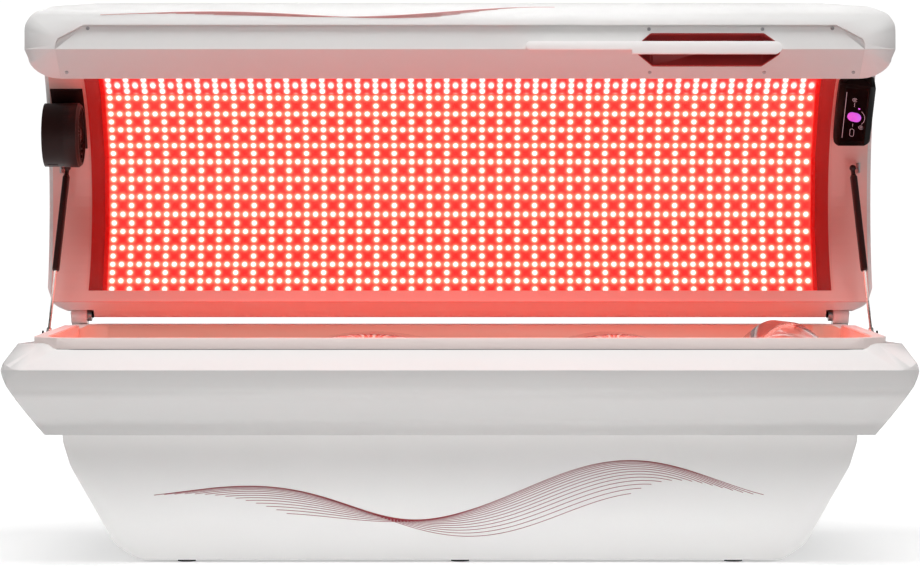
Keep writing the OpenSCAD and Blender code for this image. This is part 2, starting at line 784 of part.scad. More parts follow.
screw_xz = [[-half + 165, fascia_z2 - 8], [half - 165, fascia_z2 - 8],
            [-half + 105, fascia_z0 + 16], [half - 105, fascia_z0 + 16],
            [hand_x0 - 4, fascia_z2 - 10], [hand_x0 + opening_len - 4, fascia_z2 - 10],
            [hand_x0, fascia_z0 + 16], [hand_x0 + opening_len + 4, fascia_z0 + 16]];
function fascia_face(z) = z > fascia_z1
    ? nose_y + 2 + (z - fascia_z1) * (fascia_y2 - nose_y - 2) / (fascia_z2 - fascia_z1)
    : nose_y + 2 + (fascia_z1 - z) * (fascia_y0 - nose_y - 2) / (fascia_z1 - fascia_z0);
module fascia_screws() {
    low_lean = atan((fascia_y0 - nose_y - 2) / fascia_low_h);
    top_lean = atan((fascia_y2 - nose_y - 2) / fascia_top_h);
    color("silver") for (p = screw_xz)
        translate([p[0], fascia_face(p[1]), p[1]])
            rotate([90 + (p[1] > fascia_z1 ? -top_lean : low_lean), 0, 0])
                difference() {
                    cylinder(r1 = 5, r2 = 4, h = 2.2);
                    translate([0, 0, 1.2]) cylinder(r = 2, h = 2, $fn = 6);
                }
}

// Handle: a thin rail that grows into a rounded grip across the hand opening
handle_x1 = hand_x0 + opening_len + 45;
handle_x0 = handle_x1 - 675;
handle_z1 = fascia_z1 + 20;
module handle_outline() {
    r = grip_h / 2;
    g = handle_x1 - 395;
    union() {
        translate([handle_x1 - r, handle_z1 - r]) circle(r);
        translate([g, handle_z1 - grip_h]) square([handle_x1 - r - g, grip_h]);
        translate([handle_x0 + 11, handle_z1 - 11]) circle(11);
        translate([handle_x0 + 11, handle_z1 - 22]) square([g - handle_x0 - 11 + eps, 22]);
    }
}
module handle() {
    color("white") difference() {
        along_y(nose_y - 14, nose_y + 20) handle_outline();
        fascia_sheet(0, 60);
    }
}
module hand_pocket() {
    color("darkred") difference() {
        intersection() {
            along_y(nose_y - 5, nose_y + pocket_depth + 3) hand_outline(0.5);
            fascia_sheet(-1, 200);
        }
        intersection() {
            along_y(nose_y - 6, nose_y + pocket_depth) hand_outline(3.5);
            fascia_sheet(-2, 200);
        }
        difference() {
            along_y(nose_y - 14, nose_y + 20) handle_outline();
            fascia_sheet(0, 60);
        }
    }
}

// Liner: the white curved face round the lit window
module liner() {
    color("mistyrose") difference() {
        intersection() {
            union() {
                both_sides() arc_sweep(liner_low_deg, last_deg)
                    translate([liner_r, window_x]) square([liner_t, flange_half - window_x]);
                arc_sweep(liner_low_deg, window_low_deg)
                    translate([liner_r, -window_x - 1]) square([liner_t, 2 * window_x + 2]);
            }
            along_y(nose_y - 1, -front_y + 1) front_outline();
        }
        both_sides() hinge_slot();
        outside_sides(flange_inset);
    }
}

// Light tray: four flat facets that carry the boards
function facet_corner(r, i) = on_arc(r / cos(board_step / 2), first_deg + i * board_step);
module facet_band(r0, r1) {
    polygon(concat([for (i = [0:4]) facet_corner(r1, i)], [for (i = [4:-1:0]) facet_corner(r0, i)]));
}
tray_half = led_cols * led_pitch / 2 + 13;
tray_r = board_r + board_t;
rib_step = (tray_half - 33) / 2;
module light_tray() {
    color("firebrick") along_x(-tray_half, tray_half) facet_band(tray_r, tray_r + sheet_t);
}
module at_board(i) {
    p = on_arc(tray_r - 0.02, board_deg[i]);
    translate([0, p[0], p[1]]) rotate([board_deg[i] + 90, 0, 0]) children();
}
module light_board_1() { color("crimson") at_board(0) light_board(led_rows); }
module light_board_2() { color("crimson") at_board(1) light_board(led_rows); }
module light_board_3() { color("crimson") at_board(2) light_board(led_rows); }
module light_board_4() { color("crimson") at_board(3) light_board(led_rows); }

// The wall between the liner's edge and an end of the tray, one third of a degree thick
module end_wall(liner_deg, tray_deg, i, turn) {
    r = liner_r + liner_t + 0.2;
    polygon([on_arc(r, liner_deg), facet_corner(tray_r + sheet_t, i),
             on_arc((tray_r + sheet_t) / cos(board_step / 2), tray_deg + turn), on_arc(r, liner_deg + turn)]);
}
// End reflectors: cones and walls that close the tray between the boards and the window
module end_reflectors() {
    color("firebrick") {
        both_sides() arc_sweep(window_low_deg, last_deg)
            polygon([[liner_r, window_x], [liner_r + liner_t, window_x], [tray_r + 15, tray_half + 5],
                     [tray_r + 15, tray_half], [board_r - 2, tray_half]]);
        along_x(-tray_half, tray_half) {
            end_wall(window_low_deg, first_deg, 0, -0.3);
            end_wall(last_deg, last_deg, 4, 0.3);
        }
    }
}
module canopy_sheet() {
    color("pink", 0.3) arc_sweep(window_low_deg + 0.2, last_deg - 0.2)
        translate([liner_r - 3.3, -window_x - 6]) square([3, 2 * window_x + 12]);
}
module canopy_ribs() {
    color("silver") for (i = [-2:2]) along_x(i * rib_step - 10, i * rib_step + 10) difference() {
        intersection() {
            translate([arc_y, arc_z]) circle(shell_r - canopy_wall, $fn = 200);
            polygon([[arc_y, arc_z], on_arc(900, first_deg + 1), on_arc(900, 20), on_arc(900, last_deg)]);
        }
        polygon(concat([[arc_y - 200, arc_z - 400]],
                       [for (i = [0:4]) facet_corner(tray_r + sheet_t, i)],
                       [[arc_y - 200, arc_z + 600]]));
    }
}
module canopy_drivers() {
    color("gray") for (i = [-1.5:1.5])
        translate([i * rib_step, 0, 0]) at_board(1) translate([-120, -45, -sheet_t - 29.1]) cube([240, 90, 29]);
}

beam_x = arm_x - 1;
beam_y = hinge_y + arm_r + 4.3;
beam_z = lip_z + canopy_wall + 0.3;
beam_w = 23.5;
beam_h = 33;
module hinge_beam() {
    color("silver") difference() {
        translate([-beam_x, beam_y, beam_z]) cube([2 * beam_x, beam_w, beam_h]);
        translate([-beam_x - 1, beam_y + sheet_t, beam_z + sheet_t])
            cube([2 * beam_x + 2, beam_w - 2 * sheet_t, beam_h - 2 * sheet_t]);
    }
}
module knuckle_plate(x) {
    r = 18;
    along_x(x, x + knuckle_t) difference() {
        union() {
            translate([hinge_y, hinge_z]) circle(r);
            polygon([[hinge_y - 10, hinge_z + 14.9], [beam_y, beam_z + beam_h], [beam_y, beam_z + 1],
                     [hinge_y + 8, hinge_z - 16]]);
        }
        translate([hinge_y, hinge_z]) circle(pin_r + pin_clear);
    }
}
module knuckles() {
    color("silver") both_sides() knuckle_plate(arm_x - knuckle_t - 0.3);
}
module upper_ball_brackets() {
    x0 = top_ball[0] + 13;
    color("silver") both_sides() {
        along_x(x0 + 2, x0 + 6) intersection() {
            translate([top_ball[1] - 14, top_ball[2] - 14]) square([140, 28]);
            translate([arc_y, arc_z]) circle(liner_r, $fn = 200);
        }
        translate([x0 - 1, top_ball[1], top_ball[2]]) rotate([0, 90, 0]) cylinder(r = 4, h = 4);
    }
}

// Side fan, on the liner's left flange

module at_fan() {
    translate([fan_x, fan_y, fan_z]) rotate([0, 90, 0]) children();
}
module fan_bracket() {
    color("black") {
        arc_sweep(fan_deg - 14, fan_deg + 14)
            translate([liner_r - 5, -flange_half + 20]) square([5, flange_half - window_x - 28]);
    }
}
module fan_drum() {
    color("black") at_fan() difference() {
        union() {
            cylinder(r = fan_r - 1.5, h = 52);
            translate([0, 0, 52 - eps]) cylinder(r = fan_r, h = fan_len - 60 + eps);
            translate([0, 0, fan_len - 8 - eps]) cylinder(r1 = fan_r, r2 = fan_r - 7, h = 8);
        }
        translate([0, 0, 4]) cylinder(r = fan_r - 5, h = fan_len - 12);
        translate([0, 0, fan_len - 12]) cylinder(r = fan_r - 12, h = 20);
        for (a = [-20:10:40]) rotate([0, 0, a]) translate([fan_r - 10, -2.5, 10]) cube([20, 5, 28]);
    }
}
module fan_grille() {
    r = fan_r - 12;
    color("black") at_fan() translate([0, 0, fan_len - 8]) union() {
        difference() {
            cylinder(r = r, h = 4);
            translate([0, 0, -1]) cylinder(r = r - 5, h = 6);
        }
        cylinder(r = 17, h = 4);
        for (i = [0:grille_bars - 1]) rotate([0, 0, i * 360 / grille_bars])
            intersection() {
                translate([r / 2, 0, 0]) difference() {
                    cylinder(r = r / 2, h = 3);
                    translate([0, 0, -1]) cylinder(r = r / 2 - 2, h = 5);
                }
                translate([3, -r, 0]) cube([r - 5.5, r, 3]);
            }
    }
}
module fan_motor() {
    color("dimgray") at_fan() {
        translate([0, 0, 4]) cylinder(r = 24, h = 30);
        translate([0, 0, 34 - eps]) cylinder(r = 3, h = 40);
    }
}
module fan_impeller() {
    color("gray") at_fan() difference() {
        union() {
            translate([0, 0, 38]) cylinder(r = 68, h = 3);
            translate([0, 0, 38]) cylinder(r = 14, h = 34);
            for (i = [0:fan_blades - 1]) rotate([0, 0, i * 360 / fan_blades])
                translate([46, 0, 41 - eps]) rotate([0, 0, 35]) translate([0, -1, 0]) cube([24, 2, 34]);
        }
        translate([0, 0, 30]) cylinder(r = 3.1, h = 50);
    }
}

// Control panel, on the liner's right flange

module at_panel() {
    p = on_arc(liner_r, panel_deg);
    translate([panel_x - panel_w, p[0], p[1]]) rotate([panel_deg, 0, 0]) children();
}
// The housing's front, low at the bed and high at the end, drawn as width and depth
panel_face = [[0, -30], [14, -40], [panel_w - 16, -62], [panel_w, -54]];
face_turn = atan((panel_face[2][1] - panel_face[1][1]) / (panel_face[2][0] - panel_face[1][0]));
module panel_housing() {
    color("black") difference() {
        at_panel() intersection() {
            translate([0, 0, -panel_h / 2]) linear_extrude(panel_h)
                polygon(concat(panel_face, [[panel_w, 40], [0, 40]]));
            translate([0, 60, 0]) rotate([90, 0, 0]) linear_extrude(160) offset(r = 12, $fn = 40)
                offset(delta = -12)
                    polygon([[0, -panel_h / 2], [panel_w, 26 - panel_h / 2], [panel_w, panel_h / 2],
                             [0, panel_h / 2 - 8]]);
        }
        arc_sweep(0, 90) translate([liner_r, 0]) square([200, 2 * half]);
        at_face() translate([0, 0, -4]) linear_extrude(10) glass_outline(3);
        at_face() at_button() translate([0, 0, -14]) linear_extrude(20) oval(0.3);
    }
}
module at_face() {
    at_panel() translate([panel_face[1][0], panel_face[1][1], 0]) rotate([0, 0, face_turn])
        rotate([90, 0, 0]) children();
}
module glass_outline(gap) {
    x1 = panel_w - 28.6 - gap;
    polygon([[gap, 16 - panel_h / 2 + gap], [x1, 34 - panel_h / 2 + gap], [x1, panel_h / 2 - 9 - gap],
             [gap, panel_h / 2 - 16 - gap]]);
}
module at_button() {
    translate([(panel_w - 28) / 2, 0, 0]) children();
}
module oval(gap) {
    translate([-button_a + button_b, -button_b - gap]) square([2 * (button_a - button_b), 2 * (button_b + gap)]);
    for (sx = [-1, 1]) translate([sx * (button_a - button_b), 0]) circle(button_b + gap);
}
module panel_glass() {
    color("black") at_face() difference() {
        translate([0, 0, -4]) linear_extrude(3.4) glass_outline(3.3);
        at_button() translate([0, 0, -5]) linear_extrude(20) oval(0.4);
    }
}
module panel_button() {
    color("mediumorchid") at_face() at_button() translate([0, 0, -10]) linear_extrude(10 + button_travel) oval(0);
}

// Gas springs, each drawn along its own line from the lower ball to the upper one

spring_vec = top_ball - low_ball;
spring_len = norm(spring_vec);
module at_spring() {
    translate(low_ball)
        rotate([0, acos(spring_vec[2] / spring_len), atan2(spring_vec[1], spring_vec[0])]) children();
}
rod_len = spring_len - cyl_len + 60;
top_arm = top_ball - [top_ball_x, hinge_y, hinge_z];
shut_ball = [top_ball_x, hinge_y + top_arm[1] * cos(close_deg) - top_arm[2] * sin(close_deg),
             hinge_z + top_arm[1] * sin(close_deg) + top_arm[2] * cos(close_deg)];
tilt_axis = cross(shut_ball - low_ball, spring_vec);
// A stud of radius r that leaves the lower ball outwards along the axis on which the spring tilts
module ball_stud(r, h) {
    out = tilt_axis[0] < 0 ? -tilt_axis : tilt_axis;
    translate(low_ball) rotate([0, acos(out[2] / norm(out)), atan2(out[1], out[0])]) cylinder(r = r, h = h);
}
module gas_rod() {
    color("silver") at_spring() difference() {
        union() {
            translate([0, 0, ball_r + 1]) cylinder(r = rod_r, h = rod_len - ball_r - 1);
            sphere(ball_r + 3.3);
            translate([0, 0, 4]) cylinder(r = 7, h = 14);
            translate([0, 0, rod_len - 8]) cylinder(r = cyl_r - 1.8, h = 8);
        }
        sphere(ball_r + 0.3);
    }
}
module gas_cylinder() {
    z0 = spring_len - cyl_len;
    color("black") at_spring() difference() {
        union() {
            translate([0, 0, z0]) cylinder(r1 = cyl_r - 2, r2 = cyl_r, h = 4);
            translate([0, 0, z0 + 4 - eps]) cylinder(r = cyl_r, h = cyl_len - 30);
            translate([0, 0, z0 + cyl_len - 26 - 2 * eps]) cylinder(r1 = cyl_r, r2 = 6, h = 8);
            translate([0, 0, spring_len - 20]) cylinder(r = 6, h = 14);
            translate([0, 0, spring_len]) sphere(ball_r + 2);
        }
        translate([0, 0, z0 - 1]) cylinder(r = rod_r + 0.3, h = 12);
        translate([0, 0, z0 + 10]) cylinder(r = cyl_r - 1.5, h = cyl_len - 44);
    }
}
module gas_rod_right() { rod_with_mouth(); }
module gas_cylinder_right() { gas_cylinder(); }
module gas_rod_left() { mirror([1, 0, 0]) rod_with_mouth(); }
module gas_cylinder_left() { mirror([1, 0, 0]) gas_cylinder(); }
module rod_with_mouth() {
    difference() {
        gas_rod();
        ball_stud(stud_r + 0.4, 40);
    }
}

base_cover();
base_frame();
levelling_feet();
power_supplies();
driver_box();
mains_inlet();
vent_grille();
vent_fan_frame();
vent_fan_impeller();
lower_shell();
tub_ribs();
deck();
sill_trim();
tub_tray();
tub_board_1();
tub_board_2();
tub_board_3();
bed_sheet();
hinge_arms();
hinge_pins();
lower_ball_brackets();
canopy_shell();
fascia();
fascia_screws();
handle();
hand_pocket();
liner();
light_tray();
light_board_1();
light_board_2();
light_board_3();
light_board_4();
end_reflectors();
canopy_sheet();
canopy_ribs();
canopy_drivers();
hinge_beam();
knuckles();
upper_ball_brackets();
fan_bracket();
fan_drum();
fan_grille();
fan_motor();
fan_impeller();
panel_housing();
panel_glass();
panel_button();
gas_rod_left();
gas_cylinder_left();
gas_rod_right();
gas_cylinder_right();
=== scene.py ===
"""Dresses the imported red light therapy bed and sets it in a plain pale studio.

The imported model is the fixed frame. The script smooths copies of its moulded skins, lays the
lamps, the clear sheets, the printed lines and the control marks where the frame carries them,
and gives every piece a procedural finish.
"""

from __future__ import annotations

import json
import logging
import math
from dataclasses import dataclass, field
from enum import Enum
from functools import cache
from typing import Any, Callable, Iterable, Sequence

import bmesh
import bpy
from mathutils import Matrix, Vector

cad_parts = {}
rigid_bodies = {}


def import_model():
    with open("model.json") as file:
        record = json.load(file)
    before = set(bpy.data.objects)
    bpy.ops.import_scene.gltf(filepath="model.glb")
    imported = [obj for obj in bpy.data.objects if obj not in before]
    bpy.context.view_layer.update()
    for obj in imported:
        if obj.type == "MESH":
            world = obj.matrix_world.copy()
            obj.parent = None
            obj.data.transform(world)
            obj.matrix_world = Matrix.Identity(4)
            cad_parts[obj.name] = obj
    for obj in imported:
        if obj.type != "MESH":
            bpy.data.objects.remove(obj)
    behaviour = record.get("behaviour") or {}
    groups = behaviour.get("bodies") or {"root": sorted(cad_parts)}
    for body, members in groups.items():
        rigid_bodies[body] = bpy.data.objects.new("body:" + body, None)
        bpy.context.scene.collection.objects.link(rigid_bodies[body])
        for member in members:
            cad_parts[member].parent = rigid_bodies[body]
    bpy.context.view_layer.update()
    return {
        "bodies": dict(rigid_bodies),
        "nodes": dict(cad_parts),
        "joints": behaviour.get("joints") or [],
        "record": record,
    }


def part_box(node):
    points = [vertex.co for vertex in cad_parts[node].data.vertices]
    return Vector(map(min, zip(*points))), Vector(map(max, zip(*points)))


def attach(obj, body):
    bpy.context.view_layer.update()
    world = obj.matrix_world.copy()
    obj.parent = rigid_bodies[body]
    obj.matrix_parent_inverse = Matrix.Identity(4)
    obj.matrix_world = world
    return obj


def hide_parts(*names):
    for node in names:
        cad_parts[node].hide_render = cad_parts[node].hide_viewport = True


LOG = logging.getLogger("light_bed")
MM = 0.001
# points nearer than this, in metres, become one: on drawn meshes and on copies of the frame's
DRAWN_WELD = 1e-6
FRAME_WELD = 2e-6
Socket = Any
Colour = tuple[float, float, float, float]
Point = tuple[float, float]


def mm(*values: float) -> Vector:
    """A point given in millimetres, as a vector in metres."""
    return Vector([v * MM for v in values])


def tint(code: str) -> Colour:
    """The linear colour of a display colour.

    Args:
        code: six hexadecimal digits.

    Returns:
        Red, green, blue and an alpha of one, in linear light.
    """
    parts = [int(code[i : i + 2], 16) / 255 for i in (0, 2, 4)]
    lin = [p / 12.92 if p <= 0.04045 else ((p + 0.055) / 1.055) ** 2.4 for p in parts]
    return (lin[0], lin[1], lin[2], 1.0)


class NodeBench:
    """Adds nodes to one node tree and wires them."""

    def __init__(self, tree: bpy.types.NodeTree) -> None:
        """Keeps the tree that the nodes go into."""
        self.tree = tree

    def add(self, kind: str, inputs: dict[Any, Any] | None = None, **settings: Any) -> bpy.types.Node:
        """Adds a node.

        Args:
            kind: the node's type name.
            inputs: values or sockets for its inputs, by name or number.
            settings: properties to set on the node first.

        Returns:
            The new node.
        """
        node = self.tree.nodes.new(kind)
        for key, value in settings.items():
            setattr(node, key, value)
        for key, value in (inputs or {}).items():
            if isinstance(value, bpy.types.NodeSocket):
                self.tree.links.new(value, node.inputs[key])
            else:
                node.inputs[key].default_value = value
        return node

    def math(self, operation: str, *values: Any) -> Socket:
        """The output of a Math node on the given values or sockets."""
        return self.add("ShaderNodeMath", dict(enumerate(values)), operation=operation).outputs[0]

    def blend(self, share: Socket, first: Colour | Socket, second: Colour | Socket) -> Socket:
        """A mix of two colours: the first at a share of zero, the second at a share of one."""
        # a Mix node in colour mode has its colours at inputs 6 and 7 and its result at output 2
        return self.add("ShaderNodeMix", {0: share, 6: first, 7: second}, data_type="RGBA").outputs[2]

    def link(self, source: Socket, target: Socket) -> None:
        """Wires one socket to another."""
        self.tree.links.new(source, target)

    def seen(self) -> Socket:
        """One where the surface is seen, straight, in a gloss or through a clear sheet, else zero."""
        rays = self.add("ShaderNodeLightPath").outputs
        direct = self.math("MAXIMUM", rays["Is Camera Ray"], rays["Is Glossy Ray"])
        return self.math("MAXIMUM", direct, rays["Is Transmission Ray"])


class Pattern:
    """A Geometry Nodes tree with named inputs, which is set on a piece and then settled."""

    def __init__(self, name: str, inputs: dict[str, str]) -> None:
        """Starts the tree.

        Args:
            name: the tree's name.
            inputs: socket type by name.
        """
        self.tree = bpy.data.node_groups.new(name, "GeometryNodeTree")
        face = self.tree.interface
        face.new_socket(name="Geometry", in_out="INPUT", socket_type="NodeSocketGeometry")
        for key, kind in inputs.items():
            face.new_socket(name=key, in_out="INPUT", socket_type=kind)
        face.new_socket(name="Geometry", in_out="OUTPUT", socket_type="NodeSocketGeometry")
        self.bench = NodeBench(self.tree)
        self.given = self.bench.add("NodeGroupInput").outputs
        self.result = self.bench.add("NodeGroupOutput").inputs[0]

    def close(self, geometry: Socket) -> None:
        """Ends the tree: realized, and in the finish that it is given."""
        real = self.bench.add("GeometryNodeRealizeInstances", {0: geometry})
        done = self.bench.add(
            "GeometryNodeSetMaterial", {"Geometry": real.outputs[0], "Material": self.given["Finish"]}
        )
        self.bench.link(done.outputs[0], self.result)

    def piece(self, name: str, finish: Finishes, values: dict[str, Any]) -> Part:
        """A piece made by the tree.

        Args:
            name: the piece's name.
            finish: its finish.
            values: the tree's other inputs by name.

        Returns:
            The piece, as a plain mesh.
        """
        part = Part(name, bpy.data.meshes.new(name), finish)
        tool = part.item.modifiers.new(self.tree.name, "NODES")
        tool.node_group = self.tree
        values = values | {"Finish": finish.material}
        for socket in self.tree.interface.items_tree:
            if socket.in_out == "INPUT" and socket.name in values:
                tool[socket.identifier] = values[socket.name]
        return part.settle()


class EffectGroups:
    """Shader node groups that several finishes share, each built once."""

    drift_scale = 2.4
    stroke_tone = 0.24
    stroke_sheen = 0.2

    @classmethod
    def _start(
        cls, name: str, inputs: dict[str, tuple[str, Any]], outputs: dict[str, str]
    ) -> tuple[bpy.types.ShaderNodeTree, NodeBench, bpy.types.Node, bpy.types.Node]:
        """Starts a group with its named sockets.

        Args:
            name: the group's name.
            inputs: socket type and default value by name.
            outputs: socket type by name.

        Returns:
            The tree, a bench on it, and its input and output nodes.
        """
        tree = bpy.data.node_groups.new(name, "ShaderNodeTree")
        for key, (kind, value) in inputs.items():
            socket = tree.interface.new_socket(name=key, in_out="INPUT", socket_type=kind)
            if value is not None:
                socket.default_value = value
        for key, kind in outputs.items():
            tree.interface.new_socket(name=key, in_out="OUTPUT", socket_type=kind)
        bench = NodeBench(tree)
        return tree, bench, bench.add("NodeGroupInput"), bench.add("NodeGroupOutput")

    @classmethod
    @cache
    def moulded(cls) -> bpy.types.ShaderNodeTree:
        """Slow colour drift, fine grain and an uneven sheen, as on a moulded or painted skin."""
        tree, b, gin, gout = cls._start(
            "moulded_skin",
            {
                "Color": ("NodeSocketColor", (0.8, 0.8, 0.8, 1)),
                "Drift": ("NodeSocketFloat", 0.03),
                "Roughness": ("NodeSocketFloat", 0.4),
                "Sheen Spread": ("NodeSocketFloat", 0.05),
                "Grain Scale": ("NodeSocketFloat", 400.0),
            },
            {"Color": "NodeSocketColor", "Roughness": "NodeSocketFloat", "Height": "NodeSocketFloat"},
        )
        place = b.add("ShaderNodeTexCoord").outputs["Object"]
        slow = b.add(
            "ShaderNodeTexNoise", {"Vector": place, "Scale": cls.drift_scale, "Detail": 3.0}
        ).outputs[0]
        grain = b.add(
            "ShaderNodeTexNoise", {"Vector": place, "Scale": gin.outputs["Grain Scale"], "Detail": 2.0}
        ).outputs[0]
        centred = b.math("SUBTRACT", slow, 0.5)
        level = b.math("ADD", b.math("MULTIPLY", centred, gin.outputs["Drift"]), 1.0)
        shade = b.add(
            "ShaderNodeHueSaturation", {"Value": level, "Color": gin.outputs["Color"]}
        ).outputs[0]
        spread = b.math("MULTIPLY", centred, gin.outputs["Sheen Spread"])
        rough = b.math("ADD", b.math("MULTIPLY", spread, 2.0), gin.outputs["Roughness"])
        b.link(shade, gout.inputs["Color"])
        b.link(rough, gout.inputs["Roughness"])
        b.link(grain, gout.inputs["Height"])
        return tree

    @classmethod
    @cache
    def brushed(cls) -> bpy.types.ShaderNodeTree:
        """Fine strokes along one axis, as on drawn or brushed metal."""
        tree, b, gin, gout = cls._start(
            "brushed_metal",
            {
                "Color": ("NodeSocketColor", (0.6, 0.6, 0.6, 1)),
                "Roughness": ("NodeSocketFloat", 0.3),
                "Strokes": ("NodeSocketVector", (4.0, 900.0, 900.0)),
            },
            {"Color": "NodeSocketColor", "Roughness": "NodeSocketFloat", "Height": "NodeSocketFloat"},
        )
        place = b.add("ShaderNodeTexCoord").outputs["Object"]
        drawn = b.add(
            "ShaderNodeVectorMath", {0: place, 1: gin.outputs["Strokes"]}, operation="MULTIPLY"
        ).outputs[0]
        stroke = b.add("ShaderNodeTexNoise", {"Vector": drawn, "Scale": 1.0, "Detail": 2.0}).outputs[0]
        level = b.math("ADD", b.math("MULTIPLY", stroke, cls.stroke_tone), 1 - cls.stroke_tone / 2)
        shade = b.add(
            "ShaderNodeHueSaturation", {"Value": level, "Color": gin.outputs["Color"]}
        ).outputs[0]
        sheen = b.math("MULTIPLY", b.math("SUBTRACT", stroke, 0.5), cls.stroke_sheen)
        rough = b.math("ADD", sheen, gin.outputs["Roughness"])
        b.link(shade, gout.inputs["Color"])
        b.link(rough, gout.inputs["Roughness"])
        b.link(stroke, gout.inputs["Height"])
        return tree

    @classmethod
    @cache
    def lamp_glow(cls) -> bpy.types.ShaderNodeTree:
        """Painted round glows on the lamps' grid, where every second column has every second lamp."""
        tree, b, gin, gout = cls._start(
            "lamp_glow",
            {
                "Grid": ("NodeSocketVector", None),
                "Core": ("NodeSocketFloat", 0.25),
                "Stretch": ("NodeSocketFloat", 1.0),
                "Reach": ("NodeSocketFloat", 0.115),
            },
            {"Glow": "NodeSocketFloat"},
        )
        split = b.add("ShaderNodeSeparateXYZ", {0: gin.outputs["Grid"]})
        across, up = split.outputs[0], split.outputs[1]

        def lattice(x_step: float, x_shift: float, y_step: float, y_shift: float) -> Socket:
            """The glow of one lattice of lamps."""
            squares = []
            for value, step, shift, stretch in (
                (across, x_step, x_shift, 1.0),
                (up, y_step, y_shift, gin.outputs["Stretch"]),
            ):
                scaled = b.math("DIVIDE", b.math("SUBTRACT", value, shift), step)
                off = b.math("MULTIPLY", b.math("SUBTRACT", scaled, b.math("ROUND", scaled)), step)
                off = b.math("DIVIDE", off, stretch)
                squares.append(b.math("MULTIPLY", off, off))
            within = b.math("SUBTRACT", gin.outputs["Core"], b.math("SQRT", b.math("ADD", *squares)))
            return b.math("POWER", math.e, b.math("DIVIDE", within, gin.outputs["Reach"]))

        both = b.math("ADD", lattice(2.0, 0.0, 1.0, 0.0), lattice(2.0, 1.0, 2.0, 1.0))
        b.link(b.math("MINIMUM", both, 1.0), gout.inputs["Glow"])
        return tree


@dataclass(frozen=True)
class Finish:
    """One finish: what it is called, its slot in the record, its colour and its gloss."""

    name: str
    slot: str
    colour: str
    roughness: float = 0.4

    def _blank(self) -> tuple[bpy.types.Material, NodeBench, bpy.types.Node]:
        """A new material with a bench and its Principled shader."""
        material = bpy.data.materials.new(self.name)
        material.use_nodes = True
        bench = NodeBench(material.node_tree)
        shader = material.node_tree.nodes["Principled BSDF"]
        return material, bench, shader

    def _group(self, bench: NodeBench, tree: bpy.types.ShaderNodeTree, **values: Any) -> bpy.types.Node:
        """Places a shared group in the material with its own values."""
        node = bench.add("ShaderNodeGroup", node_tree=tree)
        for key, value in values.items():
            node.inputs[key.replace("_", " ")].default_value = value
        return node

    def make(self) -> bpy.types.Material:
        """Builds the material."""
        raise NotImplementedError


@dataclass(frozen=True)
class SkinFinish(Finish):
    """Moulded plastic, paint or rubber."""

    drift: float = 0.03
    spread: float = 0.05
    grain_scale: float = 450.0
    grain_depth: float = 0.00002
    coat: float = 0.0
    coat_roughness: float = 0.12
    specular: float = 0.5

    def make(self) -> bpy.types.Material:
        """Builds the material."""
        material, b, shader = self._blank()
        skin = self._group(
            b,
            EffectGroups.moulded(),
            Color=tint(self.colour),
            Drift=self.drift,
            Roughness=self.roughness,
            Sheen_Spread=self.spread,
            Grain_Scale=self.grain_scale,
        )
        b.link(skin.outputs["Color"], shader.inputs["Base Color"])
        b.link(skin.outputs["Roughness"], shader.inputs["Roughness"])
        bump = b.add("ShaderNodeBump", {"Height": skin.outputs["Height"], "Distance": self.grain_depth})
        b.link(bump.outputs[0], shader.inputs["Normal"])
        shader.inputs["Coat Weight"].default_value = self.coat
        shader.inputs["Coat Roughness"].default_value = self.coat_roughness
        shader.inputs["Specular IOR Level"].default_value = self.specular
        return material


@dataclass(frozen=True)
class MetalFinish(Finish):
    """Bare metal with drawn or brushed strokes."""

    strokes: tuple[float, float, float] = (4.0, 900.0, 900.0)
    depth: float = 0.00001

    def make(self) -> bpy.types.Material:
        """Builds the material."""
        material, b, shader = self._blank()
        metal = self._group(
            b, EffectGroups.brushed(), Color=tint(self.colour), Roughness=self.roughness, Strokes=self.strokes
        )
        b.link(metal.outputs["Color"], shader.inputs["Base Color"])
        b.link(metal.outputs["Roughness"], shader.inputs["Roughness"])
        bump = b.add("ShaderNodeBump", {"Height": metal.outputs["Height"], "Distance": self.depth})
        b.link(bump.outputs[0], shader.inputs["Normal"])
        shader.inputs["Metallic"].default_value = 1.0
        return material


@dataclass(frozen=True)
class ClearFinish(Finish):
    """Clear cast acrylic."""

    alpha: float = 1.0
    transmission: float = 1.0
    refraction: float = 1.49
    wave_scale: float = 5.0
    wave_depth: float = 0.0006
    wave_sheen: float = 0.03

    def make(self) -> bpy.types.Material:
        """Builds the material."""
        material, b, shader = self._blank()
        place = b.add("ShaderNodeTexCoord").outputs["Object"]
        waves = b.add(
            "ShaderNodeTexNoise", {"Vector": place, "Scale": self.wave_scale, "Detail": 1.0}
        ).outputs[0]
        rough = b.math("ADD", b.math("MULTIPLY", waves, self.wave_sheen), self.roughness)
        b.link(rough, shader.inputs["Roughness"])
        bump = b.add("ShaderNodeBump", {"Height": waves, "Distance": self.wave_depth})
        b.link(bump.outputs[0], shader.inputs["Normal"])
        shader.inputs["Base Color"].default_value = tint(self.colour)
        shader.inputs["Transmission Weight"].default_value = self.transmission
        shader.inputs["IOR"].default_value = self.refraction
        shader.inputs["Alpha"].default_value = self.alpha
        through = b.add("ShaderNodeBsdfTransparent", {"Color": tint(self.colour)})
        mix = b.add("ShaderNodeMixShader", {0: b.seen(), 1: through.outputs[0], 2: shader.outputs[0]})
        b.link(mix.outputs[0], material.node_tree.nodes["Material Output"].inputs[0])
        return material


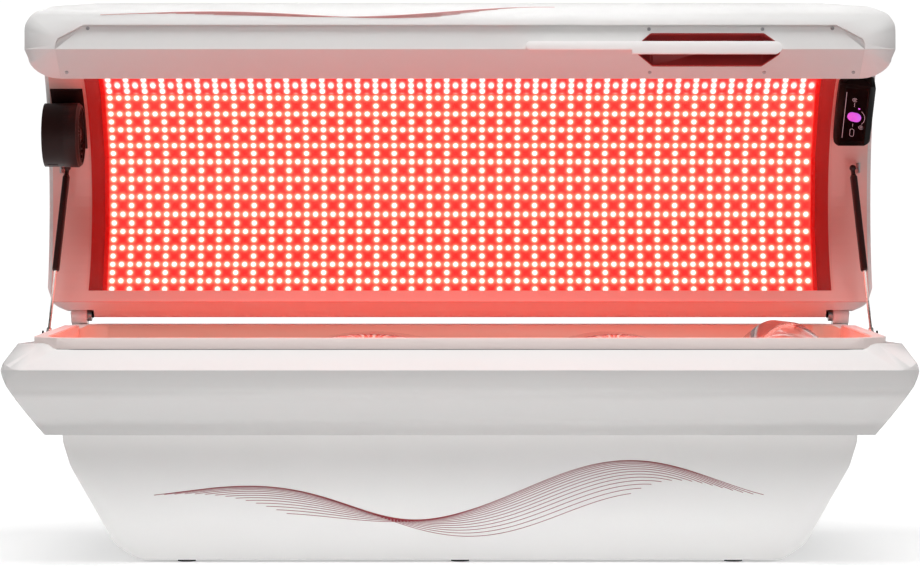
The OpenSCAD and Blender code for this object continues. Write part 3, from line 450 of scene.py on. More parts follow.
@dataclass(frozen=True)
class LampBoardFinish(Finish):
    """A lamp board's face: where seen, a painted glow in the lamps' colour, hottest round each lamp.

    Where it is seen it shows the glow, and what it lights gets the stronger spill.
    """

    hot: str = "ffe8bd"
    core: float = 0.265
    reach: float = 0.115
    stretch: float = 1.0
    spill: Colour = (3.3, 0.24, 0.14, 1.0)
    mask: Colour = (0.25, 0.02, 0.02, 1.0)

    def make(self) -> bpy.types.Material:
        """Builds the material."""
        material, b, shader = self._blank()
        grid = b.add("ShaderNodeUVMap", uv_map="lamp_grid").outputs[0]
        glow = self._group(
            b, EffectGroups.lamp_glow(), Core=self.core, Reach=self.reach, Stretch=self.stretch
        )
        b.link(grid, glow.inputs["Grid"])
        # painted glow: the lamps' light and a hot halo round each lamp, painted on the board's face
        light = b.blend(glow.outputs["Glow"], tint(self.colour), tint(self.hot))
        b.link(b.blend(b.seen(), self.spill, light), shader.inputs["Emission Color"])
        shader.inputs["Emission Strength"].default_value = 1.0
        shader.inputs["Base Color"].default_value = self.mask
        shader.inputs["Roughness"].default_value = self.roughness
        return material


@dataclass(frozen=True)
class GlowFinish(Finish):
    """A lit lens or mark, which is seen lit but lights nothing."""

    strength: float = 1.0
    base: str = "ffffff"
    uneven: float = 0.06
    uneven_scale: float = 30.0

    def make(self) -> bpy.types.Material:
        """Builds the material."""
        material, b, shader = self._blank()
        place = b.add("ShaderNodeTexCoord").outputs["Object"]
        patches = b.add(
            "ShaderNodeTexNoise", {"Vector": place, "Scale": self.uneven_scale, "Detail": 0.0}
        ).outputs[0]
        level = b.math("ADD", b.math("MULTIPLY", patches, self.uneven), 1 - self.uneven / 2)
        shade = b.add(
            "ShaderNodeHueSaturation", {"Value": level, "Color": tint(self.colour)}
        ).outputs[0]
        b.link(b.blend(b.seen(), (0, 0, 0, 1), shade), shader.inputs["Emission Color"])
        shader.inputs["Emission Strength"].default_value = self.strength
        shader.inputs["Base Color"].default_value = tint(self.base)
        material.cycles.emission_sampling = "NONE"
        shader.inputs["Roughness"].default_value = self.roughness
        return material


class Finishes(Enum):
    """Every finish on the bed."""

    SHELL = SkinFinish("satin_white_shell", "white_shell", "e6e5e4", 0.38, coat=0.15)
    BASE = SkinFinish("satin_white_base", "base_white", "e8e7e6", 0.42)
    DECK = SkinFinish("gloss_white_deck", "deck_white", "faf7f6", 0.22, coat=0.3, grain_depth=0.00001)
    UNDER = SkinFinish("satin_grey_shell", "shell_grey", "e1e0df", 0.4)
    FASCIA = SkinFinish("satin_grey_fascia", "sheet_grey", "e0dfde", 0.36)
    SILL = SkinFinish("satin_white_sill", "sill_white", "fff0ec", 0.34)
    # painted red light: a flat red strip standing for the tub's rear wall lit by the lamps, not a seal
    RED_SEAL = SkinFinish("red_rear_seal", "reflector_red", "ff2a22", 0.4)
    # painted shade: a dark bead standing for the shadow in the gap where the sill stands on the deck, not a
    # real seal
    SEAL = SkinFinish("grey_rubber_seal", "rubber", "7c706f", 0.6)
    HANDLE = SkinFinish("satin_white_handle", "handle_white", "fbfaf9", 0.35, coat=0.2)
    # the pink tint of this white liner is painted red lamp light
    LINER = SkinFinish("gloss_white_liner", "liner_white", "ecbcb4", 0.3, coat=0.2)
    ARM = SkinFinish("gloss_white_arm", "liner_white", "fcf2f0", 0.3, coat=0.2)
    # the peach tint of this white tray is painted red light from the tub boards
    TRAY = SkinFinish("gloss_white_tray", "tray_white", "ffccb8", 0.25, coat=0.3)
    REFLECTOR = SkinFinish("satin_red_reflector", "reflector_red", "900c08", 0.5, specular=0.1)
    TRAY_RED = SkinFinish("satin_red_tray", "reflector_red", "ff1c14", 0.5, specular=0.1)
    POCKET = SkinFinish("matt_red_pocket", "pocket_red", "a83232", 0.5)
    FRAME = SkinFinish("grey_powder_frame", "frame_grey", "6a6a6c", 0.6, grain_depth=0.00006)
    # the red cast in this black plastic is painted red lamp light
    BLACK = SkinFinish(
        "satin_black_plastic", "black_plastic", "2a1210", 0.5, grain_depth=0.00005, specular=0.2
    )
    # the red cast in this black paint is a painted red reflection of the lamps
    BLACK_PAINT = SkinFinish("satin_black_paint", "black_paint", "301210", 0.36, specular=0.3)
    PANEL = SkinFinish("gloss_black_housing", "black_gloss", "070404", 0.4, specular=0.06)
    GLASS = SkinFinish(
        "black_touch_glass", "black_glass", "060304", 0.25, grain_depth=0.000002, specular=0.04
    )
    RUBBER = SkinFinish("black_rubber", "rubber", "181818", 0.75, grain_depth=0.0001)
    ALUMINIUM = MetalFinish("mill_aluminium", "aluminium", "c4c5c7", 0.35)
    STEEL = MetalFinish("zinc_steel", "steel", "a8a9ab", 0.32)
    DARK_STEEL = MetalFinish("black_steel", "dark_steel", "2c2b2b", 0.4)
    CHROME = MetalFinish("polished_rod", "chrome", "efe9e4", 0.25, strokes=(900.0, 900.0, 6.0))
    CLEAR = ClearFinish("clear_acrylic", "clear_sheet", "fff6f5", 0.02)
    WINDOW = ClearFinish("clear_window", "clear_sheet", "fff0ee", 0.02, alpha=0.02, transmission=0.0)
    BOARD = LampBoardFinish("lit_lamp_board", "led_board", "f31d1c", 0.5)
    TOP_BOARD = LampBoardFinish(
        "lit_top_board", "led_board", "f31d1c", 0.5, hot="fff6e8", core=0.27, reach=0.07, stretch=1.75
    )
    TUB_BOARD = LampBoardFinish(
        "lit_tub_board", "led_board", "f31d1c", 0.5, spill=(1.25, 0.1, 0.06, 1.0)
    )
    LAMP = GlowFinish("lit_lamp", "led_board", "fffaf6", 0.3, strength=1.3)
    BUTTON = GlowFinish("lit_button", "button_violet", "b050c8", 0.3, strength=0.9, base="b050c8")
    MARK = GlowFinish("lit_mark", "black_glass", "9a8a92", 0.4, strength=0.7, base="9a8a92")
    SPOT = GlowFinish("lit_spot", "button_violet", "d060e8", 0.3, strength=1.0, base="d060e8")
    INK = SkinFinish("dark_red_ink", "base_white", "94303a", 0.5)
    PALE_INK = SkinFinish("pale_red_ink", "white_shell", "d89a98", 0.5)

    @property
    def material(self) -> bpy.types.Material:
        """The finish's material, built when it is first asked for."""
        return bpy.data.materials.get(self.value.name) or self.value.make()

    @property
    def slot(self) -> str:
        """The record's slot for this finish."""
        return self.value.slot


class Part:
    """A piece of the scene on its way to a body of the frame."""

    def __init__(self, name: str, mesh: bpy.types.Mesh, finish: Finishes) -> None:
        """Links a mesh into the scene and dresses it."""
        self.finish = finish
        self.item = bpy.data.objects.new(name, mesh)
        bpy.context.scene.collection.objects.link(self.item)
        if not mesh.materials:
            mesh.materials.append(finish.material)

    def smooth(self, angle: float = 30.0) -> Part:
        """Shades the piece smooth, with edges over the angle (in degrees) kept sharp."""
        mesh = self.item.data
        mesh.polygons.foreach_set("use_smooth", [True] * len(mesh.polygons))
        mesh.set_sharp_from_angle(angle=math.radians(angle))
        return self

    def bevel(self, width: float, segments: int = 2, angle: float = 35.0) -> Part:
        """Rounds the piece's sharp edges by a width in metres and applies it."""
        tool = self.item.modifiers.new("edge", "BEVEL")
        tool.width = width
        tool.segments = segments
        tool.limit_method = "ANGLE"
        tool.angle_limit = math.radians(angle)
        tool.use_clamp_overlap = True
        tool.harden_normals = False
        return self.settle()

    def settle(self) -> Part:
        """Turns the piece and its modifiers into a plain mesh."""
        depsgraph = bpy.context.evaluated_depsgraph_get()
        mesh = bpy.data.meshes.new_from_object(self.item.evaluated_get(depsgraph))
        mesh.name = self.item.name
        self.item.modifiers.clear()
        self.item.data = mesh
        return self

    def ride(self, body: str, *nodes: str) -> bpy.types.Object:
        """Puts the piece on a body.

        Args:
            body: the body's name.
            nodes: the frame's nodes that the piece stands for.

        Returns:
            The piece's object.
        """
        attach(self.item, body)
        self.finish.slot
        if nodes:
            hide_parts(*nodes)
        LOG.info("%s rides on %s with %d faces", self.item.name, body, len(self.item.data.polygons))
        return self.item


def mesh_of(name: str, build: Callable[[bmesh.types.BMesh], None]) -> bpy.types.Mesh:
    """A mesh filled by a function.

    Args:
        name: the mesh's name.
        build: draws into an empty bmesh.

    Returns:
        The mesh, with its faces turned outwards.
    """
    work = bmesh.new()
    build(work)
    bmesh.ops.remove_doubles(work, verts=work.verts, dist=DRAWN_WELD)
    bmesh.ops.recalc_face_normals(work, faces=work.faces)
    mesh = bpy.data.meshes.new(name)
    work.to_mesh(mesh)
    work.free()
    return mesh


class Skin:
    """Copies of the frame's own skins, merged and shaded smooth."""

    def __init__(self, frame: dict[str, Any]) -> None:
        """Keeps the loaded frame."""
        self.nodes = frame["nodes"]
        self.bodies = {
            node: body
            for body, members in frame["record"]["behaviour"]["bodies"].items()
            for node in members
        }

    def dress(
        self, node: str, finish: Finishes, angle: float = 30.0, edge: float = 0.0
    ) -> bpy.types.Object:
        """Puts a smooth copy in the place of a node.

        Args:
            node: the frame's node.
            finish: the copy's finish.
            angle: edges over this many degrees stay sharp.
            edge: width of the rounding on sharp edges, in metres, or 0 for none.

        Returns:
            The copy.
        """
        work = bmesh.new()
        work.from_mesh(self.nodes[node].data)
        bmesh.ops.remove_doubles(work, verts=work.verts, dist=FRAME_WELD)
        mesh = bpy.data.meshes.new(node + "_skin")
        work.to_mesh(mesh)
        work.free()
        part = Part(node + "_skin", mesh, finish)
        if edge:
            part.bevel(edge)
        return part.smooth(angle).ride(self.bodies[node], node)

    def repaint(self, node: str, finish: Finishes) -> None:
        """Gives a node that stays its finish."""
        item = self.nodes[node]
        for holder in item.material_slots:
            holder.material = finish.material
        if not item.material_slots:
            item.data.materials.append(finish.material)


@dataclass
class LampField:
    """The lamp boards of the canopy and of the tub."""

    pitch: float = 24.5
    columns: int = 80
    rows: int = 8
    thickness: float = 2.0
    lens_radius: float = 6.8
    lens_height: float = 6.5
    lens_sides: int = 12
    lens_rings: int = 4
    arc_y: float = -17.0
    arc_z: float = 928.6
    tray_radius: float = 451.5
    tilts: Sequence[float] = (-19.9, 4.7, 29.3, 53.9)
    top_board: str = "light_board_4"
    tub_y: float = -32.0
    tub_z: float = 430.0
    tub_gap: float = 0.5

    def lens(self) -> bpy.types.Object:
        """One lamp's dome, standing on the origin, as the pattern's model."""

        def dome(work: bmesh.types.BMesh) -> None:
            """Draws rings of the dome from its foot to its crown."""
            rings = []
            for j in range(self.lens_rings):
                turn = math.pi / 2 * j / self.lens_rings
                r, z = self.lens_radius * math.cos(turn), self.lens_height * math.sin(turn)
                rings.append(
                    [
                        work.verts.new(mm(r * math.cos(a), r * math.sin(a), z))
                        for a in (2 * math.pi * i / self.lens_sides for i in range(self.lens_sides))
                    ]
                )
            top = work.verts.new(mm(0, 0, self.lens_height))
            for low, high in zip(rings, rings[1:]):
                for i in range(self.lens_sides):
                    k = (i + 1) % self.lens_sides
                    work.faces.new((low[i], low[k], high[k], high[i]))
            for i in range(self.lens_sides):
                work.faces.new((rings[-1][i], rings[-1][(i + 1) % self.lens_sides], top))
            work.faces.new(list(reversed(rings[0])))

        mesh = mesh_of("lamp_lens", dome)
        mesh.polygons.foreach_set("use_smooth", [True] * len(mesh.polygons))
        item = bpy.data.objects.new("lamp_lens", mesh)
        bpy.context.scene.collection.objects.link(item)
        return item

    def pattern(self) -> Pattern:
        """The tree that sets a lens on the board's grid, thinned in every second column."""
        tree = Pattern(
            "lamp_pattern",
            {
                "Lens": "NodeSocketObject",
                "Columns": "NodeSocketInt",
                "Rows": "NodeSocketInt",
                "Pitch": "NodeSocketFloat",
                "Finish": "NodeSocketMaterial",
            },
        )
        b, given = tree.bench, tree.given
        span_x = b.math("MULTIPLY", b.math("SUBTRACT", given["Columns"], 1.0), given["Pitch"])
        span_y = b.math("MULTIPLY", b.math("SUBTRACT", given["Rows"], 1.0), given["Pitch"])
        grid = b.add(
            "GeometryNodeMeshGrid",
            {
                "Size X": span_x,
                "Size Y": span_y,
                "Vertices X": given["Columns"],
                "Vertices Y": given["Rows"],
            },
        )
        index = b.add("GeometryNodeInputIndex").outputs[0]
        column = b.math("FLOOR", b.math("DIVIDE", b.math("ADD", index, 0.5), given["Rows"]))
        row = b.math("SUBTRACT", index, b.math("MULTIPLY", column, given["Rows"]))
        odd_column = b.math("MODULO", column, 2.0)
        even_row = b.math("SUBTRACT", 1.0, b.math("MODULO", row, 2.0))
        thin = b.math("GREATER_THAN", b.math("MULTIPLY", odd_column, even_row), 0.5)
        kept = b.math("LESS_THAN", thin, 0.5)
        lens = b.add("GeometryNodeObjectInfo", {"Object": given["Lens"]})
        spread = b.add(
            "GeometryNodeInstanceOnPoints",
            {"Points": grid.outputs["Mesh"], "Selection": kept, "Instance": lens.outputs["Geometry"]},
        )
        tree.close(spread.outputs[0])
        return tree

    def board(self, name: str) -> bpy.types.Mesh:
        """The flat board with its lamp grid as a UV map, top face at z = thickness."""
        w, h = self.columns * self.pitch / 2, (self.rows * self.pitch - 1) / 2

        def plate(work: bmesh.types.BMesh) -> None:
            """Draws the plate."""
            bmesh.ops.create_cube(work, size=1.0)
            for vert in work.verts:
                vert.co = mm(
                    vert.co.x * 2 * w, vert.co.y * 2 * h, (vert.co.z + 0.5) * self.thickness
                )

        mesh = mesh_of(name, plate)
        uv = mesh.uv_layers.new(name="lamp_grid")
        for loop in mesh.loops:
            co = mesh.vertices[loop.vertex_index].co
            uv.data[loop.index].uv = (
                co.x / (self.pitch * MM) + (self.columns - 1) / 2,
                co.y / (self.pitch * MM) + (self.rows - 1) / 2,
            )
        return mesh

    def places(self) -> Iterable[tuple[str, str, Matrix]]:
        """Each board's node, body and place."""
        for i, tilt in enumerate(self.tilts):
            turn = math.radians(tilt)
            place = Matrix.Translation(
                mm(
                    0,
                    self.arc_y + self.tray_radius * math.cos(turn),
                    self.arc_z + self.tray_radius * math.sin(turn),
                )
            ) @ Matrix.Rotation(turn + math.pi / 2, 4, "X")
            yield f"light_board_{i + 1}", "canopy", place
        for i in range(3):
            y = self.tub_y + (i - 1) * (self.rows + self.tub_gap) * self.pitch
            yield f"tub_board_{i + 1}", "base", Matrix.Translation(mm(0, y, self.tub_z))

    def finish_of(self, node: str, body: str) -> Finishes:
        """A board's finish: the top board is seen at a slant, which draws its glows out."""
        if body == "base":
            return Finishes.TUB_BOARD
        return Finishes.TOP_BOARD if node == self.top_board else Finishes.BOARD

    def build(self) -> None:
        """Builds every board and its lamps."""
        lens = self.lens()
        tree = self.pattern()
        for node, body, place in self.places():
            mesh = self.board(node + "_plate")
            mesh.transform(place)
            Part(node + "_plate", mesh, self.finish_of(node, body)).ride(body, node)
            values = {
                "Lens": lens,
                "Columns": self.columns,
                "Rows": self.rows,
                "Pitch": self.pitch * MM,
            }
            lamps = tree.piece(node + "_lamps", Finishes.LAMP, values)
            lamps.item.data.transform(place @ Matrix.Translation(mm(0, 0, self.thickness)))
            lamps.ride(body)
        bpy.data.objects.remove(lens)


@dataclass
class LyingSurface:
    """The clear sheet that the user lies on: a knee rise, a lumbar rise and a head rest."""

    half_length: float = 1046.0
    front: float = -391.0
    back: float = 327.0
    corner: float = 76.0
    flat_z: float = 507.0
    thickness: float = 8.0
    rises: Sequence[tuple[float, float, float]] = (
        (66.0, -235.0, 420.0),
        (66.0, 400.0, 330.0),
        (97.0, 850.0, 165.0),
    )
    steps_x: int = 240
    steps_y: int = 72
    fade: float = 150.0

    def height(self, x: float, y: float) -> float:
        """The underside's height at a place: the rises, which fade out over the front and back edges."""
        edge = min(y - self.front, self.back - y) / self.fade
        share = math.sin(math.pi / 2 * min(max(edge, 0.0), 1.0))
        z = self.flat_z
        for rise, centre, width in self.rises:
            if abs(x - centre) < width:
                z += share * rise * math.cos(math.pi / 2 * (x - centre) / width) ** 2
        return z

    def build(self) -> None:
        """Builds the sheet."""

        def sheet(work: bmesh.types.BMesh) -> None:
            """Draws the upper and lower faces on one grid, inside the rounded outline."""
            layers = []
            for lift in (self.thickness, 0.0):
                rows = []
                for i in range(self.steps_x + 1):
                    x = self.half_length * (2 * i / self.steps_x - 1)
                    past = max(0.0, abs(x) - (self.half_length - self.corner))
                    inset = self.corner - math.sqrt(max(self.corner**2 - past**2, 0.0))
                    y0, y1 = self.front + inset, self.back - inset
                    ys = [y0 + (y1 - y0) * j / self.steps_y for j in range(self.steps_y + 1)]
                    rows.append([work.verts.new(mm(x, y, self.height(x, y) + lift)) for y in ys])
                layers.append(rows)
            top, low = layers
            for i in range(self.steps_x):
                for j in range(self.steps_y):
                    work.faces.new((top[i][j], top[i + 1][j], top[i + 1][j + 1], top[i][j + 1]))
                    work.faces.new((low[i][j], low[i][j + 1], low[i + 1][j + 1], low[i + 1][j]))
                for j in (0, self.steps_y):
                    work.faces.new((top[i][j], low[i][j], low[i + 1][j], top[i + 1][j]))
            for i in (0, self.steps_x):
                for j in range(self.steps_y):
                    work.faces.new((top[i][j], top[i][j + 1], low[i][j + 1], low[i][j]))

        Part("lying_surface", mesh_of("lying_surface", sheet), Finishes.CLEAR).smooth(40).ride(
            "base", "bed_sheet"
        )


@dataclass
class SillShadeAndGlow:
    """A dark bead round the sill's foot, painted shade standing for the shadow gap where the sill meets the
    deck, and a red strip under the rear sill's edge, painted red lamp light.

    Lengths are in millimetres.
    """

    half_length: float = 1084.0
    front: float = -429.0
    back: float = 365.0
    corner: float = 114.0
    corner_steps: int = 12
    foot_z: float = 545.0
    slope: float = 27 / 801
    radius: float = 1.3
    sides: int = 8
    strip_half: float = 960.0
    strip_y: float = 330.6
    strip_thickness: float = 1.0
    strip_low: float = 585.0
    strip_high: float = 593.5

    def path(self) -> list[Vector]:
        """The closed line where the sill stands on the sloping deck."""
        points = []
        for turn, cx, cy in (
            (0.0, self.half_length - self.corner, self.back - self.corner),
            (90.0, self.corner - self.half_length, self.back - self.corner),
            (180.0, self.corner - self.half_length, self.front + self.corner),
            (270.0, self.half_length - self.corner, self.front + self.corner),
        ):
            for k in range(self.corner_steps + 1):
                a = math.radians(turn + 90.0 * k / self.corner_steps)
                x, y = cx + self.corner * math.cos(a), cy + self.corner * math.sin(a)
                points.append(Vector((x, y, self.foot_z + (y - self.front) * self.slope)))
        return points

    def bead(self, work: bmesh.types.BMesh) -> None:
        """Sweeps a small round section along the closed path."""
        path = self.path()
        rings = []
        for i, point in enumerate(path):
            ahead = (path[(i + 1) % len(path)] - path[i - 1]).normalized()
            side = ahead.cross(Vector((0, 0, 1))).normalized()
            up = side.cross(ahead)
            ring = []
            for k in range(self.sides):
                a = 2 * math.pi * k / self.sides
                ring.append((point + self.radius * (math.cos(a) * side + math.sin(a) * up)) * MM)
            rings.append([work.verts.new(spot) for spot in ring])
        for i, ring in enumerate(rings):
            after = rings[(i + 1) % len(rings)]
            for k in range(self.sides):
                m = (k + 1) % self.sides
                work.faces.new((ring[k], ring[m], after[m], after[k]))

    def strip(self, work: bmesh.types.BMesh) -> None:
        """Draws the thin red strip under the rear sill's edge: painted red lamp light standing for the tub's
        lit rear wall.
        """
        bmesh.ops.create_cube(work, size=1.0)
        middle = (self.strip_low + self.strip_high) / 2
        for vert in work.verts:
            vert.co = mm(
                vert.co.x * 2 * self.strip_half,
                self.strip_y + vert.co.y * self.strip_thickness,
                middle + vert.co.z * (self.strip_high - self.strip_low),
            )

    def build(self) -> None:
        """Builds both."""
        # the bead is painted shade along the sill's foot
        Part("sill_seal", mesh_of("sill_seal", self.bead), Finishes.SEAL).smooth(60).ride("base")
        # the red strip is painted red lamp light on the tub's rear wall
        Part("rear_strip", mesh_of("rear_strip", self.strip), Finishes.RED_SEAL).ride("base")


@dataclass
class PanelMarks:
    """The lit marks on the touch panel, in the panel face's own frame."""

    origin: Sequence[float] = (1046.0, 254.24, 1172.83)
    tilt: float = 42.0
    turn: float = math.degrees(math.atan2(-22, 66))
    lift: float = -0.65
    stroke: float = 1.1
    height: float = 0.25
    round_marks: Sequence[Point] = ((30.5, 58.0), (55.0, -32.0))
    round_outer: float = 6.0
    round_inner: float = 2.4
    link: Sequence[float] = (33.0, 0.0, 30.0, 50.0, -42.0)
    ticks: Sequence[Sequence[Point]] = (((31, 48), (31, 34)), ((32, -24), (32, -34)))
    hole_x: float = 32.0
    hole_top: float = -48.0
    hole_low: float = -63.0
    hole_r: float = 5.5
    strip_x: float = 6.5
    strip_reach: float = 80.0
    strip_steps: int = 20
    strip_width: float = 1.4
    spot_run: Sequence[Point] = ((45, 29), (45, 33))
    spot_width: float = 5.0

    @property
    def place(self) -> Matrix:
        """From the face's own frame to the bed's."""
        return (
            Matrix.Translation(mm(*self.origin))
            @ Matrix.Rotation(math.radians(self.tilt), 4, "X")
            @ Matrix.Rotation(math.radians(self.turn), 4, "Z")
            @ Matrix.Rotation(math.pi / 2, 4, "X")
        )

    def stroke_along(self, work: bmesh.types.BMesh, points: Sequence[Point], width: float) -> None:
        """Draws a raised stroke through points on the face."""
        lines: list[list[bmesh.types.BMVert]] = []
        for i, (x, y) in enumerate(points):
            x0, y0 = points[max(i - 1, 0)]
            x1, y1 = points[min(i + 1, len(points) - 1)]
            run = math.hypot(x1 - x0, y1 - y0) or 1.0
            nx, ny = -(y1 - y0) / run * width / 2, (x1 - x0) / run * width / 2
            lines.append(
                [
                    work.verts.new(mm(x + s * nx, y + s * ny, self.lift + up))
                    for s, up in ((1, 0.0), (1, self.height), (-1, self.height), (-1, 0.0))
                ]
            )
        for a, b in zip(lines, lines[1:]):
            for k in range(4):
                m = (k + 1) % 4
                work.faces.new((a[k], b[k], b[m], a[m]))
        work.faces.new(lines[0])
        work.faces.new(list(reversed(lines[-1])))

    @staticmethod
    def arc(x: float, y: float, r: float, start: float, end: float, steps: int = 20) -> list[Point]:
        """Points on an arc, angles in degrees."""
        return [
            (x + r * math.cos(a), y + r * math.sin(a))
            for a in (math.radians(start + (end - start) * i / steps) for i in range(steps + 1))
        ]

    def marks(self, work: bmesh.types.BMesh) -> None:
        """Draws two round marks, their arc, the ticks and a long-hole mark."""
        for x, y in self.round_marks:
            self.stroke_along(work, self.arc(x, y, self.round_outer, 20, 340), self.stroke)
            self.stroke_along(work, self.arc(x, y, self.round_inner, 0, 350), self.stroke)
        self.stroke_along(work, self.arc(*self.link), self.stroke)
        for tick in self.ticks:
            self.stroke_along(work, tick, self.stroke)
        long_hole = self.arc(self.hole_x, self.hole_top, self.hole_r, 0, 180)
        long_hole += self.arc(self.hole_x, self.hole_low, self.hole_r, 180, 360)
        self.stroke_along(work, long_hole + [long_hole[0]], self.stroke)

    def strip(self, work: bmesh.types.BMesh) -> None:
        """Draws the tall light strip at the glass's inner edge."""
        step = 2 * self.strip_reach / self.strip_steps
        run = [(self.strip_x, i * step - self.strip_reach) for i in range(self.strip_steps + 1)]
        self.stroke_along(work, run, self.strip_width)

    def spot(self, work: bmesh.types.BMesh) -> None:
        """Draws the small light beside the button."""
        self.stroke_along(work, self.spot_run, self.spot_width)

    def build(self) -> None:
        """Builds the marks, the strip and the small violet light."""
        for name, draw, finish in (
            ("panel_marks", self.marks, Finishes.MARK),
            ("panel_strip", self.strip, Finishes.MARK),
            ("panel_spot", self.spot, Finishes.SPOT),
        ):
            mesh = mesh_of(name, draw)
            mesh.transform(self.place)
            Part(name, mesh, finish).ride("canopy")


@dataclass
class LinePattern:
    """The thin red lines on the base and roof: waves that drift out of step.

    The waves' lengths are in metres, the roof's rounded front (its nose) in millimetres.
    """

    points: int = 160
    thread_sides: int = 4
    calm: float = 0.35
    knot: float = 0.3
    proud: float = 0.0002
    base_height: float = 0.165
    base_waves: dict[str, float] = field(
        default_factory=lambda: {
            "Lines": 14,
            "Start": -0.78,
            "End": 0.8,
            "Swing": 0.078,
            "Waves": 1.2,
            "Drift": 0.034,
            "Fan": 0.0145,
            "Slope": -0.07,
            "Stagger": 0.026,
            "Thread": 0.00075,
        }
    )
    roof_waves: dict[str, float] = field(
        default_factory=lambda: {
            "Lines": 7,
            "Start": -0.95,
            "End": 0.3,
            "Swing": 0.013,
            "Waves": 0.9,
            "Drift": 0.07,
            "Fan": 0.0012,
            "Slope": 0.004,
            "Stagger": 0.05,
            "Thread": 0.0006,
        }
    )
    nose_y: float = -38.0
    nose_z: float = 1420.2
    nose_r: float = 34.0

    def tree(self) -> Pattern:
        """The tree that draws a family of waves as threads in the X-Z plane."""
        lengths = ("Start", "End", "Swing", "Waves", "Drift", "Fan", "Slope", "Stagger", "Thread")
        tree = Pattern(
            "drifting_waves",
            {"Lines": "NodeSocketInt", "Points": "NodeSocketInt"}
            | {name: "NodeSocketFloat" for name in lengths}
            | {"Finish": "NodeSocketMaterial"},
        )
        b, o = tree.bench, tree.given
        # the waves below place every point, so these offsets only keep the points apart
        line = b.add("GeometryNodeMeshLine", {"Count": o["Points"], "Offset": (0.01, 0, 0)})
        seeds = b.add("GeometryNodeMeshLine", {"Count": o["Lines"], "Offset": (0, 0, 0.001)})
        strand = b.add("GeometryNodeMeshToCurve", {0: line.outputs[0]})
        rows = b.add(
            "GeometryNodeInstanceOnPoints", {"Points": seeds.outputs[0], "Instance": strand.outputs[0]}
        )
        index = b.add("GeometryNodeInputIndex").outputs[0]
        number = b.add(
            "GeometryNodeStoreNamedAttribute",
            {"Geometry": rows.outputs[0], "Name": "line_number", "Value": index},
            data_type="FLOAT",
            domain="INSTANCE",
        )
        real = b.add("GeometryNodeRealizeInstances", {0: number.outputs[0]})
        k = b.add(
            "GeometryNodeInputNamedAttribute", {"Name": "line_number"}, data_type="FLOAT"
        ).outputs[0]
        t = b.add("GeometryNodeSplineParameter").outputs["Factor"]
        late = b.math("MULTIPLY", k, o["Stagger"])
        early = b.math("MULTIPLY", b.math("SUBTRACT", o["Lines"], k), o["Stagger"])
        first, last = b.math("ADD", o["Start"], late), b.math("SUBTRACT", o["End"], early)
        x = b.math("ADD", first, b.math("MULTIPLY", t, b.math("SUBTRACT", last, first)))
        phase = b.math("ADD", b.math("MULTIPLY", t, o["Waves"]), b.math("MULTIPLY", k, o["Drift"]))
        wave = b.math("SINE", b.math("MULTIPLY", phase, 2 * math.pi))
        grow = b.math("ADD", self.calm, b.math("MULTIPLY", t, 1 - self.calm))
        z = b.math("MULTIPLY", b.math("MULTIPLY", wave, o["Swing"]), grow)
        fan = b.math("MULTIPLY", b.math("MULTIPLY", k, o["Fan"]), b.math("SUBTRACT", t, self.knot))
        z = b.math("ADD", b.math("ADD", z, fan), b.math("MULTIPLY", t, o["Slope"]))
        spot = b.add("ShaderNodeCombineXYZ", {0: x, 1: 0.0, 2: z})
        moved = b.add(
            "GeometryNodeSetPosition", {"Geometry": real.outputs[0], "Position": spot.outputs[0]}
        )
        ring = b.add(
            "GeometryNodeCurvePrimitiveCircle",
            {"Resolution": self.thread_sides, "Radius": o["Thread"]},
        )
        thread = b.add(
            "GeometryNodeCurveToMesh",
            {"Curve": moved.outputs[0], "Profile Curve": ring.outputs[0], "Fill Caps": True},
        )
        tree.close(thread.outputs[0])
        return tree

    def nose(self, z: float) -> float:
        """The depth of the roof's rounded front at a height, in millimetres."""
        over = max(0.0, z - self.nose_z)
        return self.nose_y + self.nose_r - math.sqrt(max(self.nose_r**2 - over**2, 0.0))

    def build(self) -> None:
        """Lays the lines on the base's front and on the roof's rounded front."""
        tree = self.tree()
        low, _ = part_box("base_cover")
        part = tree.piece("base_lines", Finishes.INK, {"Points": self.points} | self.base_waves)
        part.item.data.transform(
            Matrix.Translation((0.0, low.y - self.proud, low.z + self.base_height))
        )
        part.ride("base")
        part = tree.piece("roof_lines", Finishes.PALE_INK, {"Points": self.points} | self.roof_waves)
        for vert in part.item.data.vertices:
            z = vert.co.z / MM + self.nose_z
            vert.co = Vector((vert.co.x, vert.co.y + self.nose(z) * MM - self.proud, z * MM))
        part.ride("canopy")


@dataclass(frozen=True)
class SoftLamp:
    """A soft lamp, which is itself not seen: lengths in metres, power in watts, spread in degrees."""

    name: str
    place: tuple[float, float, float]
    aim: tuple[float, float, float]
    size: tuple[float, float]
    power: float
    spread: float = 180.0

    def hang(self) -> None:
        """Hangs the lamp at its place, turned to its aim."""
        data = bpy.data.lights.new(self.name, "AREA")
        data.shape = "RECTANGLE"
        data.size, data.size_y = self.size
        data.energy = self.power
        data.spread = math.radians(self.spread)
        item = bpy.data.objects.new(self.name, data)
        item.location = self.place
        way = Vector(self.aim) - Vector(self.place)
        item.rotation_euler = way.to_track_quat("-Z", "Y").to_euler()
        item.visible_camera = False
        item.visible_glossy = False
        bpy.context.scene.collection.objects.link(item)


